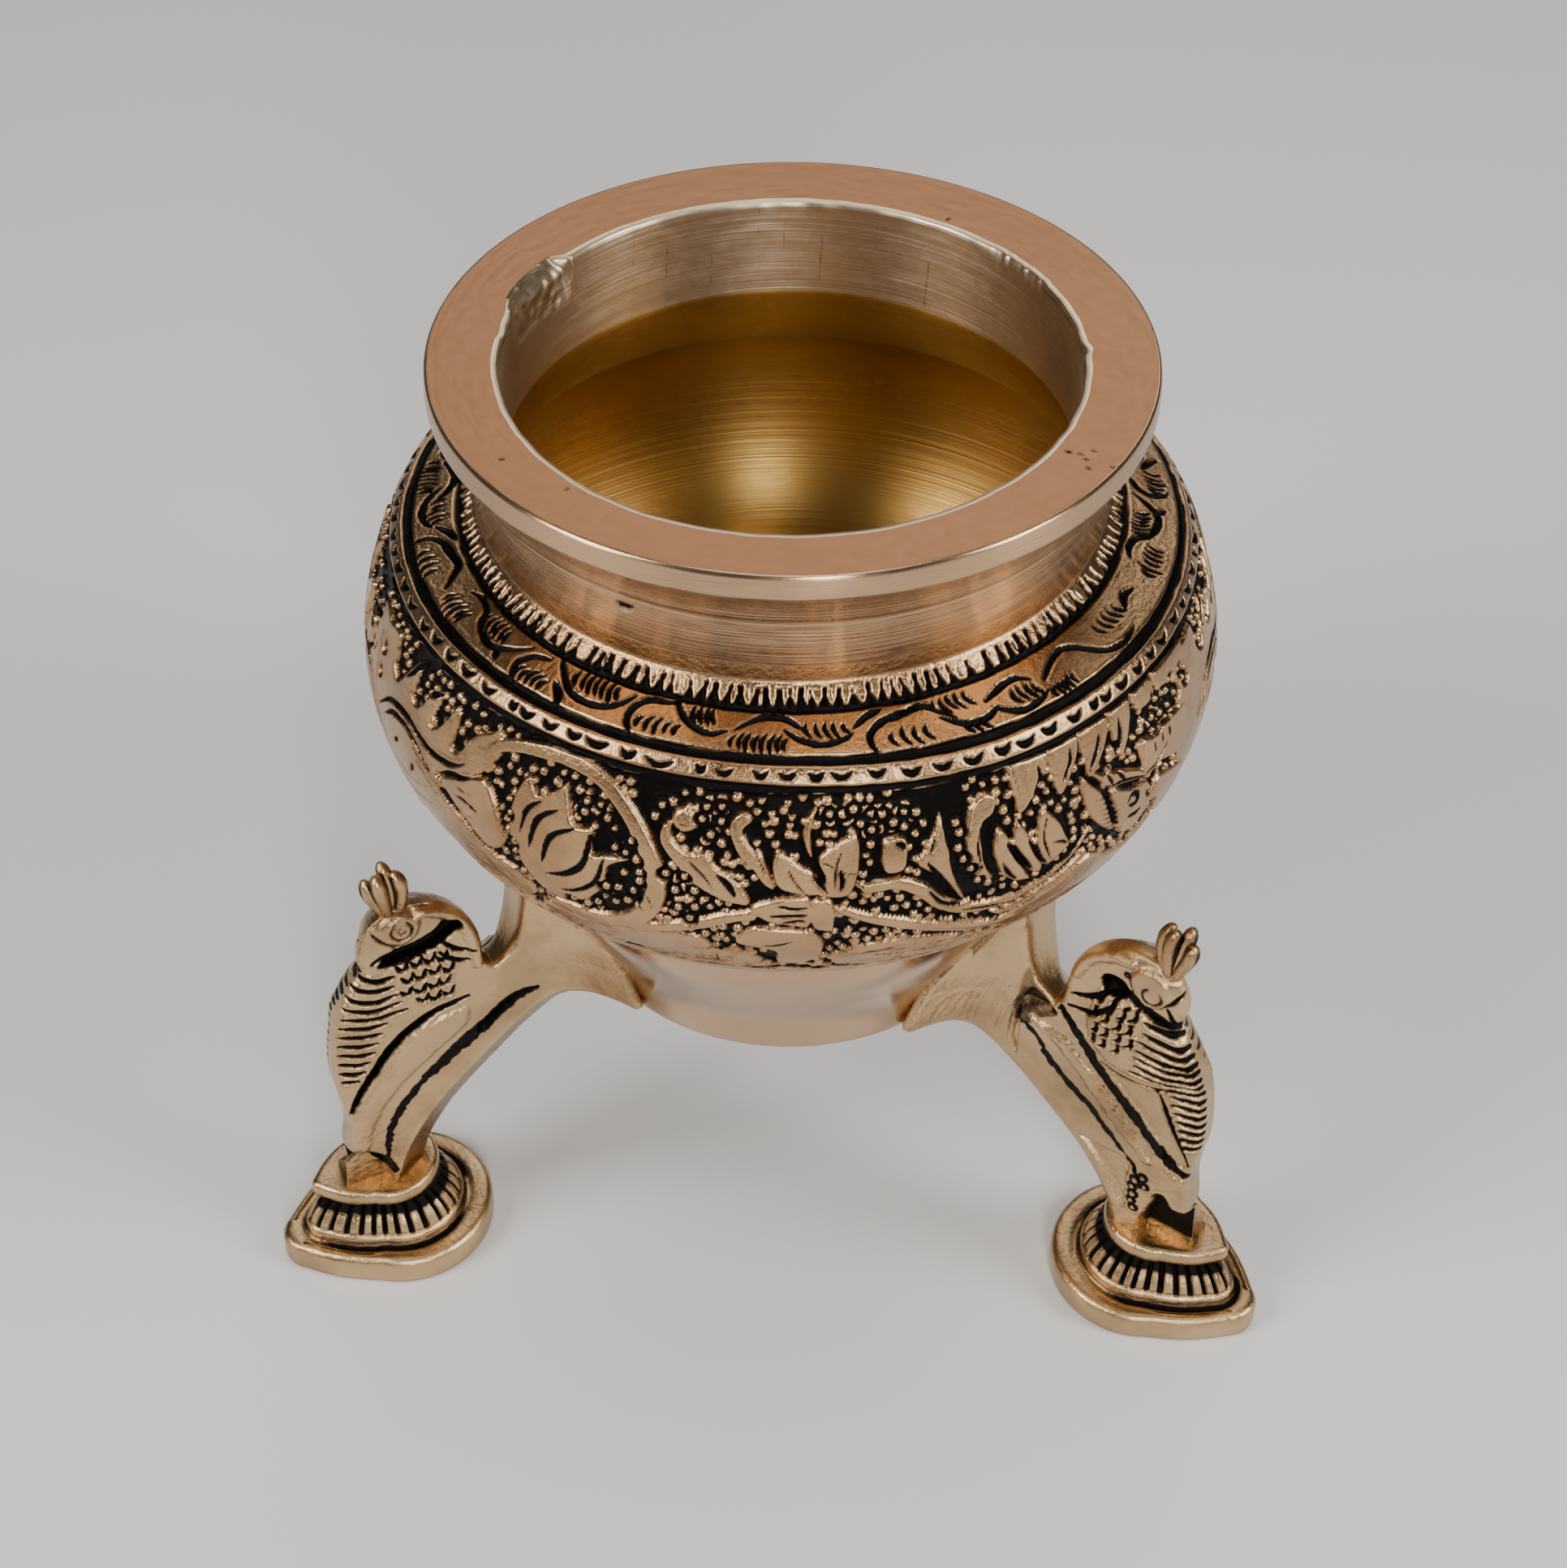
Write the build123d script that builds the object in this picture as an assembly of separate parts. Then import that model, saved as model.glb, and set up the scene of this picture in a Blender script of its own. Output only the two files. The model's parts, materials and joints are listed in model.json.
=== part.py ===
from build123d import *
import os
from math import acos, cos, radians, sin

# A small footed urli: a cast and turned brass bowl on a turned collar ring, carried by three
# cast legs. Each leg is one casting: a stepped foot, a curved shank and a peacock.
# Millimetres. The origin is on the table under the bowl's axis, and +Z is up.

# Driving dimensions: the whole object
TOTAL_HEIGHT = 115.3
RIM_RADIUS = 38.0
MOUTH_RADIUS = 30.0
BELLY_RADIUS = 47.4
BELLY_LEVEL = 80.5
FOOT_TIP_RADIUS = 69.0

# Bowl
RIM_DEPTH = 2.5
RIM_EDGE_CHAMFER = 0.3
NECK_GROOVE = (34.6, 107.0)
NECK_RADIUS = 33.8
NECK_LEVEL = 101.0
NECK_FOOT_LEVEL = 99.0
BEAD_ROW = (36.3, 97.0)
SHOULDER_GROOVE = (41.5, 95.8)
UPPER_BELLY = (45.4, 90.0)
LOWER_BELLY = [(45.4, 71.3), (40.6, 64.8)]
COVE_MIDDLE = (35.9, 109.6)
BORE_DEPTH = 11.8
FLOOR_LEVEL = 60.5
SEAT_LEVEL = 60.0
SEAT_RADIUS = 34.4
SPIGOT_RADIUS = 29.8
SPIGOT_LEVEL = 57.0
UNDERSIDE_RECESS_RADIUS = 24.0
UNDERSIDE_RECESS = 0.6
INNER_FLOOR_EDGE = (31.5, 63.2)
INNER_WALL = [(40.6, 69.8), (43.8, 80.0), (41.0, 89.6), (33.5, 95.2)]

# Collar ring, a trumpet that widens upwards to the bowl's seat
RING_OUTER_RADIUS = 26.3
RING_TOP_RADIUS = 34.0
RING_INNER_RADIUS = 23.3
RING_REGISTER_RADIUS = 29.9
RING_REGISTER_LEVEL = 54.6
RING_BOTTOM_LEVEL = 36.2
RING_EDGE_CHAMFER = 0.5
RING_OUTER_CURVE = [(27.4, 42.0), (29.9, 47.5), (32.6, 53.5)]
RING_INNER_CURVE = [(27.0, 48.4), (24.4, 42.4)]

# Brazed joints
PAD_THICKNESS = 0.6
PAD_EDGE = [(10.6, 37.0), (8.4, 42.0), (6.2, 47.5), (5.2, 53.5), (5.2, 58.4)]
BOWL_BRAZE_LEG = 2.2
BOWL_BRAZE_HOLLOW = 0.32

# Legs
LEG_ANGLES = {"leg_rear": 90, "leg_left": 210, "leg_right": 330}
BRAZE_NAMES = {"leg_rear": "braze_rear", "leg_left": "braze_left", "leg_right": "braze_right"}
LEG_THICKNESS = 8.5
LEG_BOTTOM_LEVEL = 11.5
LEG_START_RADIUS = 25.0
INNER_EDGE_TOP = (LEG_START_RADIUS, 33.1)
INNER_EDGE = [(31.5, 32.5), (39.5, 26.3), (46.2, 20.3), (49.4, 15.0)]
INNER_ANKLE_RADIUS = 50.4
OUTER_ANKLE_RADIUS = 60.3
INNER_BEVEL_DEPTH = 1.7
INNER_BEVEL_WIDTH = 2.6
TAIL_CURVE = [(60.0, 20.0), (59.4, 28.0), (60.0, 36.0), (57.5, 46.0)]
CHIN = (54.8, 48.8)
BEAK = (54.9, 52.9)
CROWN = (52.5, 56.3)
NECK_CURVE = [(47.0, 57.2), (42.6, 53.8), (40.8, 48.3)]
NAPE_END = (40.3, 44.4)
CREST_OUTLINE = [(52.9, 55.2), (55.3, 61.4), (53.4, 64.3), (51.2, 62.8), (49.3, 56.2)]
CREST_THICKNESS = 3.6

# The root of each leg: a tall web that spreads onto the collar
ROOT_HALF_WIDTH = 9.8
ROOT_FLARE = (29.0, 6.2)
ROOT_FLARE_END_RADIUS = 33.5
ROOT_TOP_LEVEL = 57.8
ROOT_TOP_RADIUS = 34.8
ROOT_BOTTOM_LEVEL = 33.2
ROOT_BOTTOM_END = (34.5, 31.2)
ROOT_HOLLOW = (35.9, 48.2)
ROOT_END = (39.5, 43.8)
ROOT_SHOULDER = (34.0, 41.7)

# Foot tiers, each an egg: a round heel, a smaller round toe, and straight sides between
BASE_LEVELS = (0.0, 4.0)
BASE_HEEL = (53.0, 10.9)
BASE_TOE_RADIUS = 4.5
BASE_EDGE_CHAMFER = 0.4
TIER_LEVELS = (4.0, 9.0)
TIER_HEEL = (53.4, 7.6)
TIER_TOE_RADIUS = 3.4
TIER_TIP_RADIUS = 65.8
TIER_TAPER = 14
NECK_LEVELS = (9.0, 10.0)
NECK_HEEL = (54.4, 5.0)
NECK_TOE_RADIUS = 1.8
NECK_TIP_RADIUS = 62.6
PLATE_LEVELS = (10.0, 12.2)
PLATE_HEEL = (54.5, 6.2)
PLATE_TOE_RADIUS = 2.4
PLATE_TIP_RADIUS = 64.0
PLATE_EDGE_CHAMFER = 0.5


def outer_bowl_edges():
    """The bowl's outside, from the rim's top outer edge down to the seat on the ring."""
    rim_side = TOTAL_HEIGHT - RIM_DEPTH
    chamfer_start = (RIM_RADIUS - RIM_EDGE_CHAMFER, TOTAL_HEIGHT)
    chamfer_end = (RIM_RADIUS, TOTAL_HEIGHT - RIM_EDGE_CHAMFER)
    rim = Polyline(chamfer_start, chamfer_end, (RIM_RADIUS, rim_side))
    cove = ThreePointArc((RIM_RADIUS, rim_side), COVE_MIDDLE, NECK_GROOVE)
    neck = Polyline(
        NECK_GROOVE,
        (NECK_RADIUS, NECK_LEVEL),
        (NECK_RADIUS, NECK_FOOT_LEVEL),
        BEAD_ROW,
        SHOULDER_GROOVE,
    )
    belly = Spline(
        SHOULDER_GROOVE,
        UPPER_BELLY,
        (BELLY_RADIUS, BELLY_LEVEL),
        *LOWER_BELLY,
        (SEAT_RADIUS, SEAT_LEVEL),
        tangents=[(1.0, -0.45), (-1.0, -0.62)],
    )
    return [rim, cove, neck, belly]


def underside_edges():
    """The seat on the ring, the spigot that centres the bowl in it, and the recess within."""
    recess_level = SPIGOT_LEVEL + UNDERSIDE_RECESS
    return [
        Polyline(
            (SEAT_RADIUS, SEAT_LEVEL),
            (SPIGOT_RADIUS, SEAT_LEVEL),
            (SPIGOT_RADIUS, SPIGOT_LEVEL),
            (UNDERSIDE_RECESS_RADIUS, SPIGOT_LEVEL),
            (UNDERSIDE_RECESS_RADIUS - UNDERSIDE_RECESS, recess_level),
            (0, recess_level),
        )
    ]


def inner_bowl_edges():
    """The inside, from the axis out over the floor, up the undercut wall and the mouth bore."""
    bore_end = (MOUTH_RADIUS, TOTAL_HEIGHT - BORE_DEPTH)
    wall = Spline(
        (0, FLOOR_LEVEL),
        INNER_FLOOR_EDGE,
        *INNER_WALL,
        bore_end,
        tangents=[(1, 0), (0.15, 1)],
    )
    rim_edge = (RIM_RADIUS - RIM_EDGE_CHAMFER, TOTAL_HEIGHT)
    bore = Polyline(bore_end, (MOUTH_RADIUS, TOTAL_HEIGHT), rim_edge)
    axis = Line((0, SPIGOT_LEVEL + UNDERSIDE_RECESS), (0, FLOOR_LEVEL))
    return [axis, wall, bore]


def turned(edges):
    """A solid of revolution about the bowl's axis from a closed outline of (radius, height)."""
    outline = Face(Wire.combine([edge for part in edges for edge in part.edges()])[0])
    return revolve(Plane.XZ * outline, Axis.Z, 360)


def make_bowl():
    return turned(outer_bowl_edges() + underside_edges() + inner_bowl_edges())


def ring_outer_curve(offset):
    """The trumpet's outside from the bottom up, moved outwards by offset."""
    middle = [(radius + offset, level) for radius, level in RING_OUTER_CURVE]
    return Spline(
        (RING_OUTER_RADIUS + offset, RING_BOTTOM_LEVEL + RING_EDGE_CHAMFER),
        *middle,
        (RING_TOP_RADIUS + offset, SEAT_LEVEL),
        tangents=[(0, 1), (0.1, 1)],
    )


def make_ring():
    """The collar: a trumpet outside, and a register for the bowl's spigot at the top inside."""
    bottom = RING_BOTTOM_LEVEL + RING_EDGE_CHAMFER
    top = Polyline(
        (RING_TOP_RADIUS, SEAT_LEVEL),
        (RING_REGISTER_RADIUS, SEAT_LEVEL),
        (RING_REGISTER_RADIUS, RING_REGISTER_LEVEL),
    )
    inside = Spline(
        (RING_REGISTER_RADIUS, RING_REGISTER_LEVEL),
        *RING_INNER_CURVE,
        (RING_INNER_RADIUS, bottom),
        tangents=[(-0.3, -1), (0, -1)],
    )
    foot = Polyline(
        (RING_INNER_RADIUS, bottom),
        (RING_INNER_RADIUS + RING_EDGE_CHAMFER, RING_BOTTOM_LEVEL),
        (RING_OUTER_RADIUS - RING_EDGE_CHAMFER, RING_BOTTOM_LEVEL),
        (RING_OUTER_RADIUS, bottom),
    )
    return turned([ring_outer_curve(0), top, inside, foot])


def make_bowl_braze():
    """A concave bead in the corner between the ring's bore and the underside of the spigot."""
    corner = (RING_REGISTER_RADIUS, SPIGOT_LEVEL)
    low = (corner[0], corner[1] - BOWL_BRAZE_LEG)
    inner = (corner[0] - BOWL_BRAZE_LEG, corner[1])
    inset = BOWL_BRAZE_HOLLOW * BOWL_BRAZE_LEG
    middle = (corner[0] - inset, corner[1] - inset)
    return turned([Polyline(inner, corner, low), ThreePointArc(low, middle, inner)])


def egg_outline(heel, toe_radius, tip_radius):
    """A flat egg along X: heel is (centre, radius), and the toe ends at tip_radius."""
    heel_centre, heel_radius = heel
    toe_centre = tip_radius - toe_radius
    spread = acos((heel_radius - toe_radius) / (toe_centre - heel_centre))
    heel_top = (heel_centre + heel_radius * cos(spread), heel_radius * sin(spread))
    toe_top = (toe_centre + toe_radius * cos(spread), toe_radius * sin(spread))
    heel_low = (heel_top[0], -heel_top[1])
    toe_low = (toe_top[0], -toe_top[1])
    edges = [
        ThreePointArc(heel_top, (heel_centre - heel_radius, 0), heel_low),
        Line(heel_low, toe_low),
        ThreePointArc(toe_low, (tip_radius, 0), toe_top),
        Line(toe_top, heel_top),
    ]
    return make_face(edges)


def foot_tier(outline, levels, taper=0):
    bottom, top = levels
    return extrude(Pos(0, 0, bottom) * outline, top - bottom, dir=(0, 0, 1), taper=taper)


def top_edges(tier, level):
    return [edge for edge in tier.edges() if abs(edge.center().Z - level) < 0.01]


def make_foot():
    base = foot_tier(egg_outline(BASE_HEEL, BASE_TOE_RADIUS, FOOT_TIP_RADIUS), BASE_LEVELS)
    base = chamfer(top_edges(base, BASE_LEVELS[1]), BASE_EDGE_CHAMFER)
    petals = foot_tier(egg_outline(TIER_HEEL, TIER_TOE_RADIUS, TIER_TIP_RADIUS), TIER_LEVELS, TIER_TAPER)
    neck = foot_tier(egg_outline(NECK_HEEL, NECK_TOE_RADIUS, NECK_TIP_RADIUS), NECK_LEVELS)
    plate = foot_tier(egg_outline(PLATE_HEEL, PLATE_TOE_RADIUS, PLATE_TIP_RADIUS), PLATE_LEVELS)
    plate = chamfer(top_edges(plate, PLATE_LEVELS[1]), PLATE_EDGE_CHAMFER)
    return base + petals + neck + plate


def leg_inner_edge():
    """The leg's inner edge, from the collar down to the foot's plate."""
    return Spline(INNER_EDGE_TOP, *INNER_EDGE, (INNER_ANKLE_RADIUS, LEG_BOTTOM_LEVEL))


def peacock_outline():
    """The outer edge: ankle, tail, breast, beak, head and the arched neck, back to the collar."""
    tail = Spline((OUTER_ANKLE_RADIUS, LEG_BOTTOM_LEVEL), *TAIL_CURVE, CHIN)
    face = ThreePointArc(CHIN, BEAK, CROWN)
    neck = Spline(CROWN, *NECK_CURVE, NAPE_END)
    back = Polyline(NAPE_END, ROOT_SHOULDER, (LEG_START_RADIUS, ROOT_SHOULDER[1]))
    return [tail, face, neck, back]


def make_shank():
    """The flat leg with its peacock, with both sides bevelled along the inner edge."""
    inner = leg_inner_edge()
    ankle = Line((INNER_ANKLE_RADIUS, LEG_BOTTOM_LEVEL), (OUTER_ANKLE_RADIUS, LEG_BOTTOM_LEVEL))
    start = Line((LEG_START_RADIUS, ROOT_SHOULDER[1]), INNER_EDGE_TOP)
    edges = [inner, ankle] + peacock_outline() + [start]
    outline = Face(Wire.combine([edge for part in edges for edge in part.edges()])[0])
    shank = extrude(Plane.XZ * outline, LEG_THICKNESS / 2, both=True)
    radius, level = INNER_EDGE[1]
    inner_face = min(shank.faces(), key=lambda face: face.distance_to(Vector(radius, 0, level)))
    long_edges = [edge for edge in inner_face.edges() if edge.bounding_box().size.X > 20]
    return chamfer(long_edges, INNER_BEVEL_DEPTH, INNER_BEVEL_WIDTH, reference=inner_face)


def root_plan():
    """The root seen from above: as wide as its flare at the collar, then as thick as the leg."""
    half = LEG_THICKNESS / 2
    wide = ROOT_HALF_WIDTH
    flare_radius, flare_half = ROOT_FLARE
    outer = ROOT_END[0]
    left_flare = ThreePointArc(
        (ROOT_FLARE_END_RADIUS, half), (flare_radius, flare_half), (RING_OUTER_RADIUS, wide)
    )
    right_flare = ThreePointArc(
        (RING_OUTER_RADIUS, -wide), (flare_radius, -flare_half), (ROOT_FLARE_END_RADIUS, -half)
    )
    back = Polyline(
        (RING_OUTER_RADIUS, wide),
        (RING_INNER_RADIUS, wide),
        (RING_INNER_RADIUS, -wide),
        (RING_OUTER_RADIUS, -wide),
    )
    front = Polyline(
        (ROOT_FLARE_END_RADIUS, -half),
        (outer, -half),
        (outer, half),
        (ROOT_FLARE_END_RADIUS, half),
    )
    return make_face([left_flare, back, right_flare, front])


def root_side():
    """The root seen from the side, with the hollow between it and the peacock's neck."""
    top = (ROOT_TOP_RADIUS, ROOT_TOP_LEVEL)
    back = Polyline(
        top,
        (RING_INNER_RADIUS, ROOT_TOP_LEVEL),
        (RING_INNER_RADIUS, ROOT_BOTTOM_LEVEL),
        ROOT_BOTTOM_END,
        ROOT_END,
    )
    return make_face([back, ThreePointArc(ROOT_END, ROOT_HOLLOW, top)])


def make_root():
    upright = extrude(Pos(0, 0, LEG_BOTTOM_LEVEL) * root_plan(), ROOT_TOP_LEVEL, dir=(0, 0, 1))
    across = extrude(Plane.XZ * root_side(), ROOT_HALF_WIDTH + 1, both=True)
    return upright & across


def make_crest():
    """The fan on the peacock's head."""
    outline = make_face(Polyline(CREST_OUTLINE, close=True))
    return extrude(Plane.XZ * outline, CREST_THICKNESS / 2, both=True)


def collar_space(offset):
    """Everything inside the collar's outer surface moved outwards, with room above and below."""
    low_radius = RING_OUTER_RADIUS + offset
    high_radius = RING_TOP_RADIUS + offset
    low = BASE_LEVELS[0]
    high = SEAT_LEVEL + 2
    below = Polyline((0, low), (low_radius, low), (low_radius, RING_BOTTOM_LEVEL + RING_EDGE_CHAMFER))
    above = Polyline((high_radius, SEAT_LEVEL), (high_radius, high), (0, high), (0, low))
    return turned([below, ring_outer_curve(offset), above])


def make_leg():
    """One leg casting along +X, hollowed at the root to the outside of its brazed joint."""
    body = make_shank() + make_root() + make_crest() + make_foot()
    return body - collar_space(PAD_THICKNESS)


def make_braze_pad():
    """The layer of filler between the collar and a leg's root, a little wider than the root."""
    shell = collar_space(PAD_THICKNESS) - collar_space(0)
    other_edge = [(-across, level) for across, level in reversed(PAD_EDGE)]
    window = make_face(Polyline(PAD_EDGE + other_edge, close=True))
    return shell & extrude(Plane.YZ * window, BELLY_RADIUS, dir=(1, 0, 0))


def save(shape, name):
    solids = shape.solids()
    shape = solids[0] if len(solids) == 1 else Compound(children=solids)
    shape.label = name
    export_step(shape, f"parts/{name}.step")


def main():
    os.makedirs("parts", exist_ok=True)
    save(make_bowl(), "bowl")
    save(make_ring(), "collar_ring")
    save(make_bowl_braze(), "bowl_braze")
    leg = make_leg()
    pad = make_braze_pad()
    for name, angle in LEG_ANGLES.items():
        turn = Rot(0, 0, angle)
        save(turn * leg, name)
        save(turn * pad, BRAZE_NAMES[name])


main()
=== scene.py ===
import json
import math

import bpy
import numpy as np
from mathutils import Matrix, Vector
from mathutils.geometry import delaunay_2d_cdt

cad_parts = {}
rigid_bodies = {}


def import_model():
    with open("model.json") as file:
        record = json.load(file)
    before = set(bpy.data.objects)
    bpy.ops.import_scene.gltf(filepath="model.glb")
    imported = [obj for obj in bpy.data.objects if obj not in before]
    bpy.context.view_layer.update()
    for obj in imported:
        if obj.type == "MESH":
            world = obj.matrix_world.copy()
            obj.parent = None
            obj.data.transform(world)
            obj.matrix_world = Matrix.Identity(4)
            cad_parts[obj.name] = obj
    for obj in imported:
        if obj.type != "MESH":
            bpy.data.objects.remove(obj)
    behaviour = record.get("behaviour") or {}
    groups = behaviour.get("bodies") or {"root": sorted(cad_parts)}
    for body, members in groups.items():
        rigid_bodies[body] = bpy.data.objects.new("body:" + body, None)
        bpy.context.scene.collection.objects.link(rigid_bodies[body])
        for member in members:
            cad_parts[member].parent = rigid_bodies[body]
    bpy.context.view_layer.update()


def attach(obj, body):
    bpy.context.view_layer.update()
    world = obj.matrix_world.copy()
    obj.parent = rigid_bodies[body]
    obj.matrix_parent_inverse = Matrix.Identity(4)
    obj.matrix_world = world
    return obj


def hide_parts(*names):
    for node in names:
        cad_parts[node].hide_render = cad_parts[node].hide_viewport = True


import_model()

rng = np.random.default_rng(11)

MM = 0.001

# ---------------------------------------------------------------- curves and shared maths


def trail(text):
    """The points of 'x,y x,y ...'."""
    return [tuple(map(float, pair.split(","))) for pair in text.split()]


def paths(text):
    """(label, points) for each 'label: x,y x,y ...' in text."""
    found = []
    for word in text.split():
        if word.endswith(":"):
            found.append((word[:-1], []))
        else:
            found[-1][1].extend(trail(word))
    return found


def ease(value):
    """0 below 0, 1 above 1, smooth between."""
    value = np.clip(value, 0.0, 1.0)
    return value * value * (3 - 2 * value)


def rounded(points, closed=False, step=0.3):
    """A Catmull-Rom curve through points, sampled about every step."""
    points = np.array(points, float)
    if closed:
        points = np.vstack([points[-1], points, points[0], points[1]])
    else:
        points = np.vstack([2 * points[0] - points[1], points, 2 * points[-1] - points[-2]])
    made = []
    for a, b, c, d in zip(points[:-3], points[1:-2], points[2:-1], points[3:]):
        count = max(2, int(math.ceil(np.hypot(*(c - b)) / step)))
        t = np.linspace(0, 1, count, endpoint=False)[:, None]
        bend, twist = 2 * a - 5 * b + 4 * c - d, 3 * b - a - 3 * c + d
        made.append(0.5 * (2 * b + (c - a) * t + bend * t**2 + twist * t**3))
    if not closed:
        made.append(points[-2:-1])
    return np.vstack(made)


def clamped_curve(points, start, end, step):
    """A cubic through points, with end directions, sampled about every step."""
    p = np.array(points, float)
    gaps = np.hypot(*np.diff(p, axis=0).T)
    t = np.r_[0, np.cumsum(gaps)]
    n = len(p)
    a = np.zeros((n, n))
    b = np.zeros((n, 2))
    a[0, 0] = a[-1, -1] = 1
    b[0] = np.array(start) / np.hypot(*start)
    b[-1] = np.array(end) / np.hypot(*end)
    for i in range(1, n - 1):
        a[i, i - 1], a[i, i], a[i, i + 1] = gaps[i], 2 * (gaps[i - 1] + gaps[i]), gaps[i - 1]
        before, after = (p[i] - p[i - 1]) / gaps[i - 1], (p[i + 1] - p[i]) / gaps[i]
        b[i] = 3 * (gaps[i - 1] * after + gaps[i] * before)
    d = np.linalg.solve(a, b)
    made = []
    for i in range(n - 1):
        count = max(2, int(round(gaps[i] / step)))
        u = np.linspace(0, 1, count, endpoint=False)[:, None]
        h = gaps[i]
        made.append(
            (2 * u**3 - 3 * u**2 + 1) * p[i]
            + (u**3 - 2 * u**2 + u) * h * d[i]
            + (3 * u**2 - 2 * u**3) * p[i + 1]
            + (u**3 - u**2) * h * d[i + 1]
        )
    made.append(p[-1:])
    return np.vstack(made)


def polyline(points, step):
    """Straight runs through points, sampled about every step."""
    points = np.array(points, float)
    made = []
    for a, b in zip(points[:-1], points[1:]):
        count = max(1, int(round(np.hypot(*(b - a)) / step)))
        made.append(a + (b - a) * np.linspace(0, 1, count, endpoint=False)[:, None])
    made.append(points[-1:])
    return np.vstack(made)


def nearest(path, x, y):
    """Distance of each (x, y) to a polyline, and the share of its length at the nearest point."""
    best = np.full(x.shape, 1e9)
    along = np.zeros(x.shape)
    lengths = np.hypot(*np.diff(path, axis=0).T)
    total = max(lengths.sum(), 1e-9)
    run = 0.0
    for (ax, ay), (bx, by), length in zip(path[:-1], path[1:], lengths):
        if length > 1e-9:
            dx, dy = bx - ax, by - ay
            t = np.clip(((x - ax) * dx + (y - ay) * dy) / length**2, 0, 1)
            d = np.hypot(x - ax - t * dx, y - ay - t * dy)
            closer = d < best
            best = np.where(closer, d, best)
            along = np.where(closer, (run + t * length) / total, along)
            run += length
    return best, along


def inside(path, x, y):
    """True where (x, y) is inside the closed outline path."""
    hits = np.zeros(x.shape, bool)
    for (ax, ay), (bx, by) in zip(path, np.roll(path, -1, axis=0)):
        if ay != by:
            crosses = ((ay > y) != (by > y)) & (x < (bx - ax) * (y - ay) / (by - ay) + ax)
            hits ^= crosses
    return hits


def depth_in(path, x, y):
    """Distance inside a closed outline; negative outside it."""
    distance, _ = nearest(np.vstack([path, path[:1]]), x, y)
    return np.where(inside(path, x, y), distance, -distance)


def cloud(shape, cells, seed, wrap=False):
    """Smooth random values from -1 to 1, with about cells bumps each way."""
    source = np.random.default_rng(seed)
    rows, columns = shape
    down, across = cells
    grid = source.uniform(-1, 1, (down + 3, across + 3))
    if wrap:
        grid[:, across : across + 3] = grid[:, :3]
    u = np.linspace(0, down, rows)
    v = np.arange(columns) * across / columns
    i, j = np.minimum(u.astype(int), down - 1), v.astype(int)
    fu, fv = ease(u - i)[:, None], ease(v - j)[None, :]
    top = grid[np.ix_(i, j)] * (1 - fv) + grid[np.ix_(i, j + 1)] * fv
    low = grid[np.ix_(i + 1, j)] * (1 - fv) + grid[np.ix_(i + 1, j + 1)] * fv
    return top * (1 - fu) + low * fu


# ---------------------------------------------------------------- relief


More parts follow.
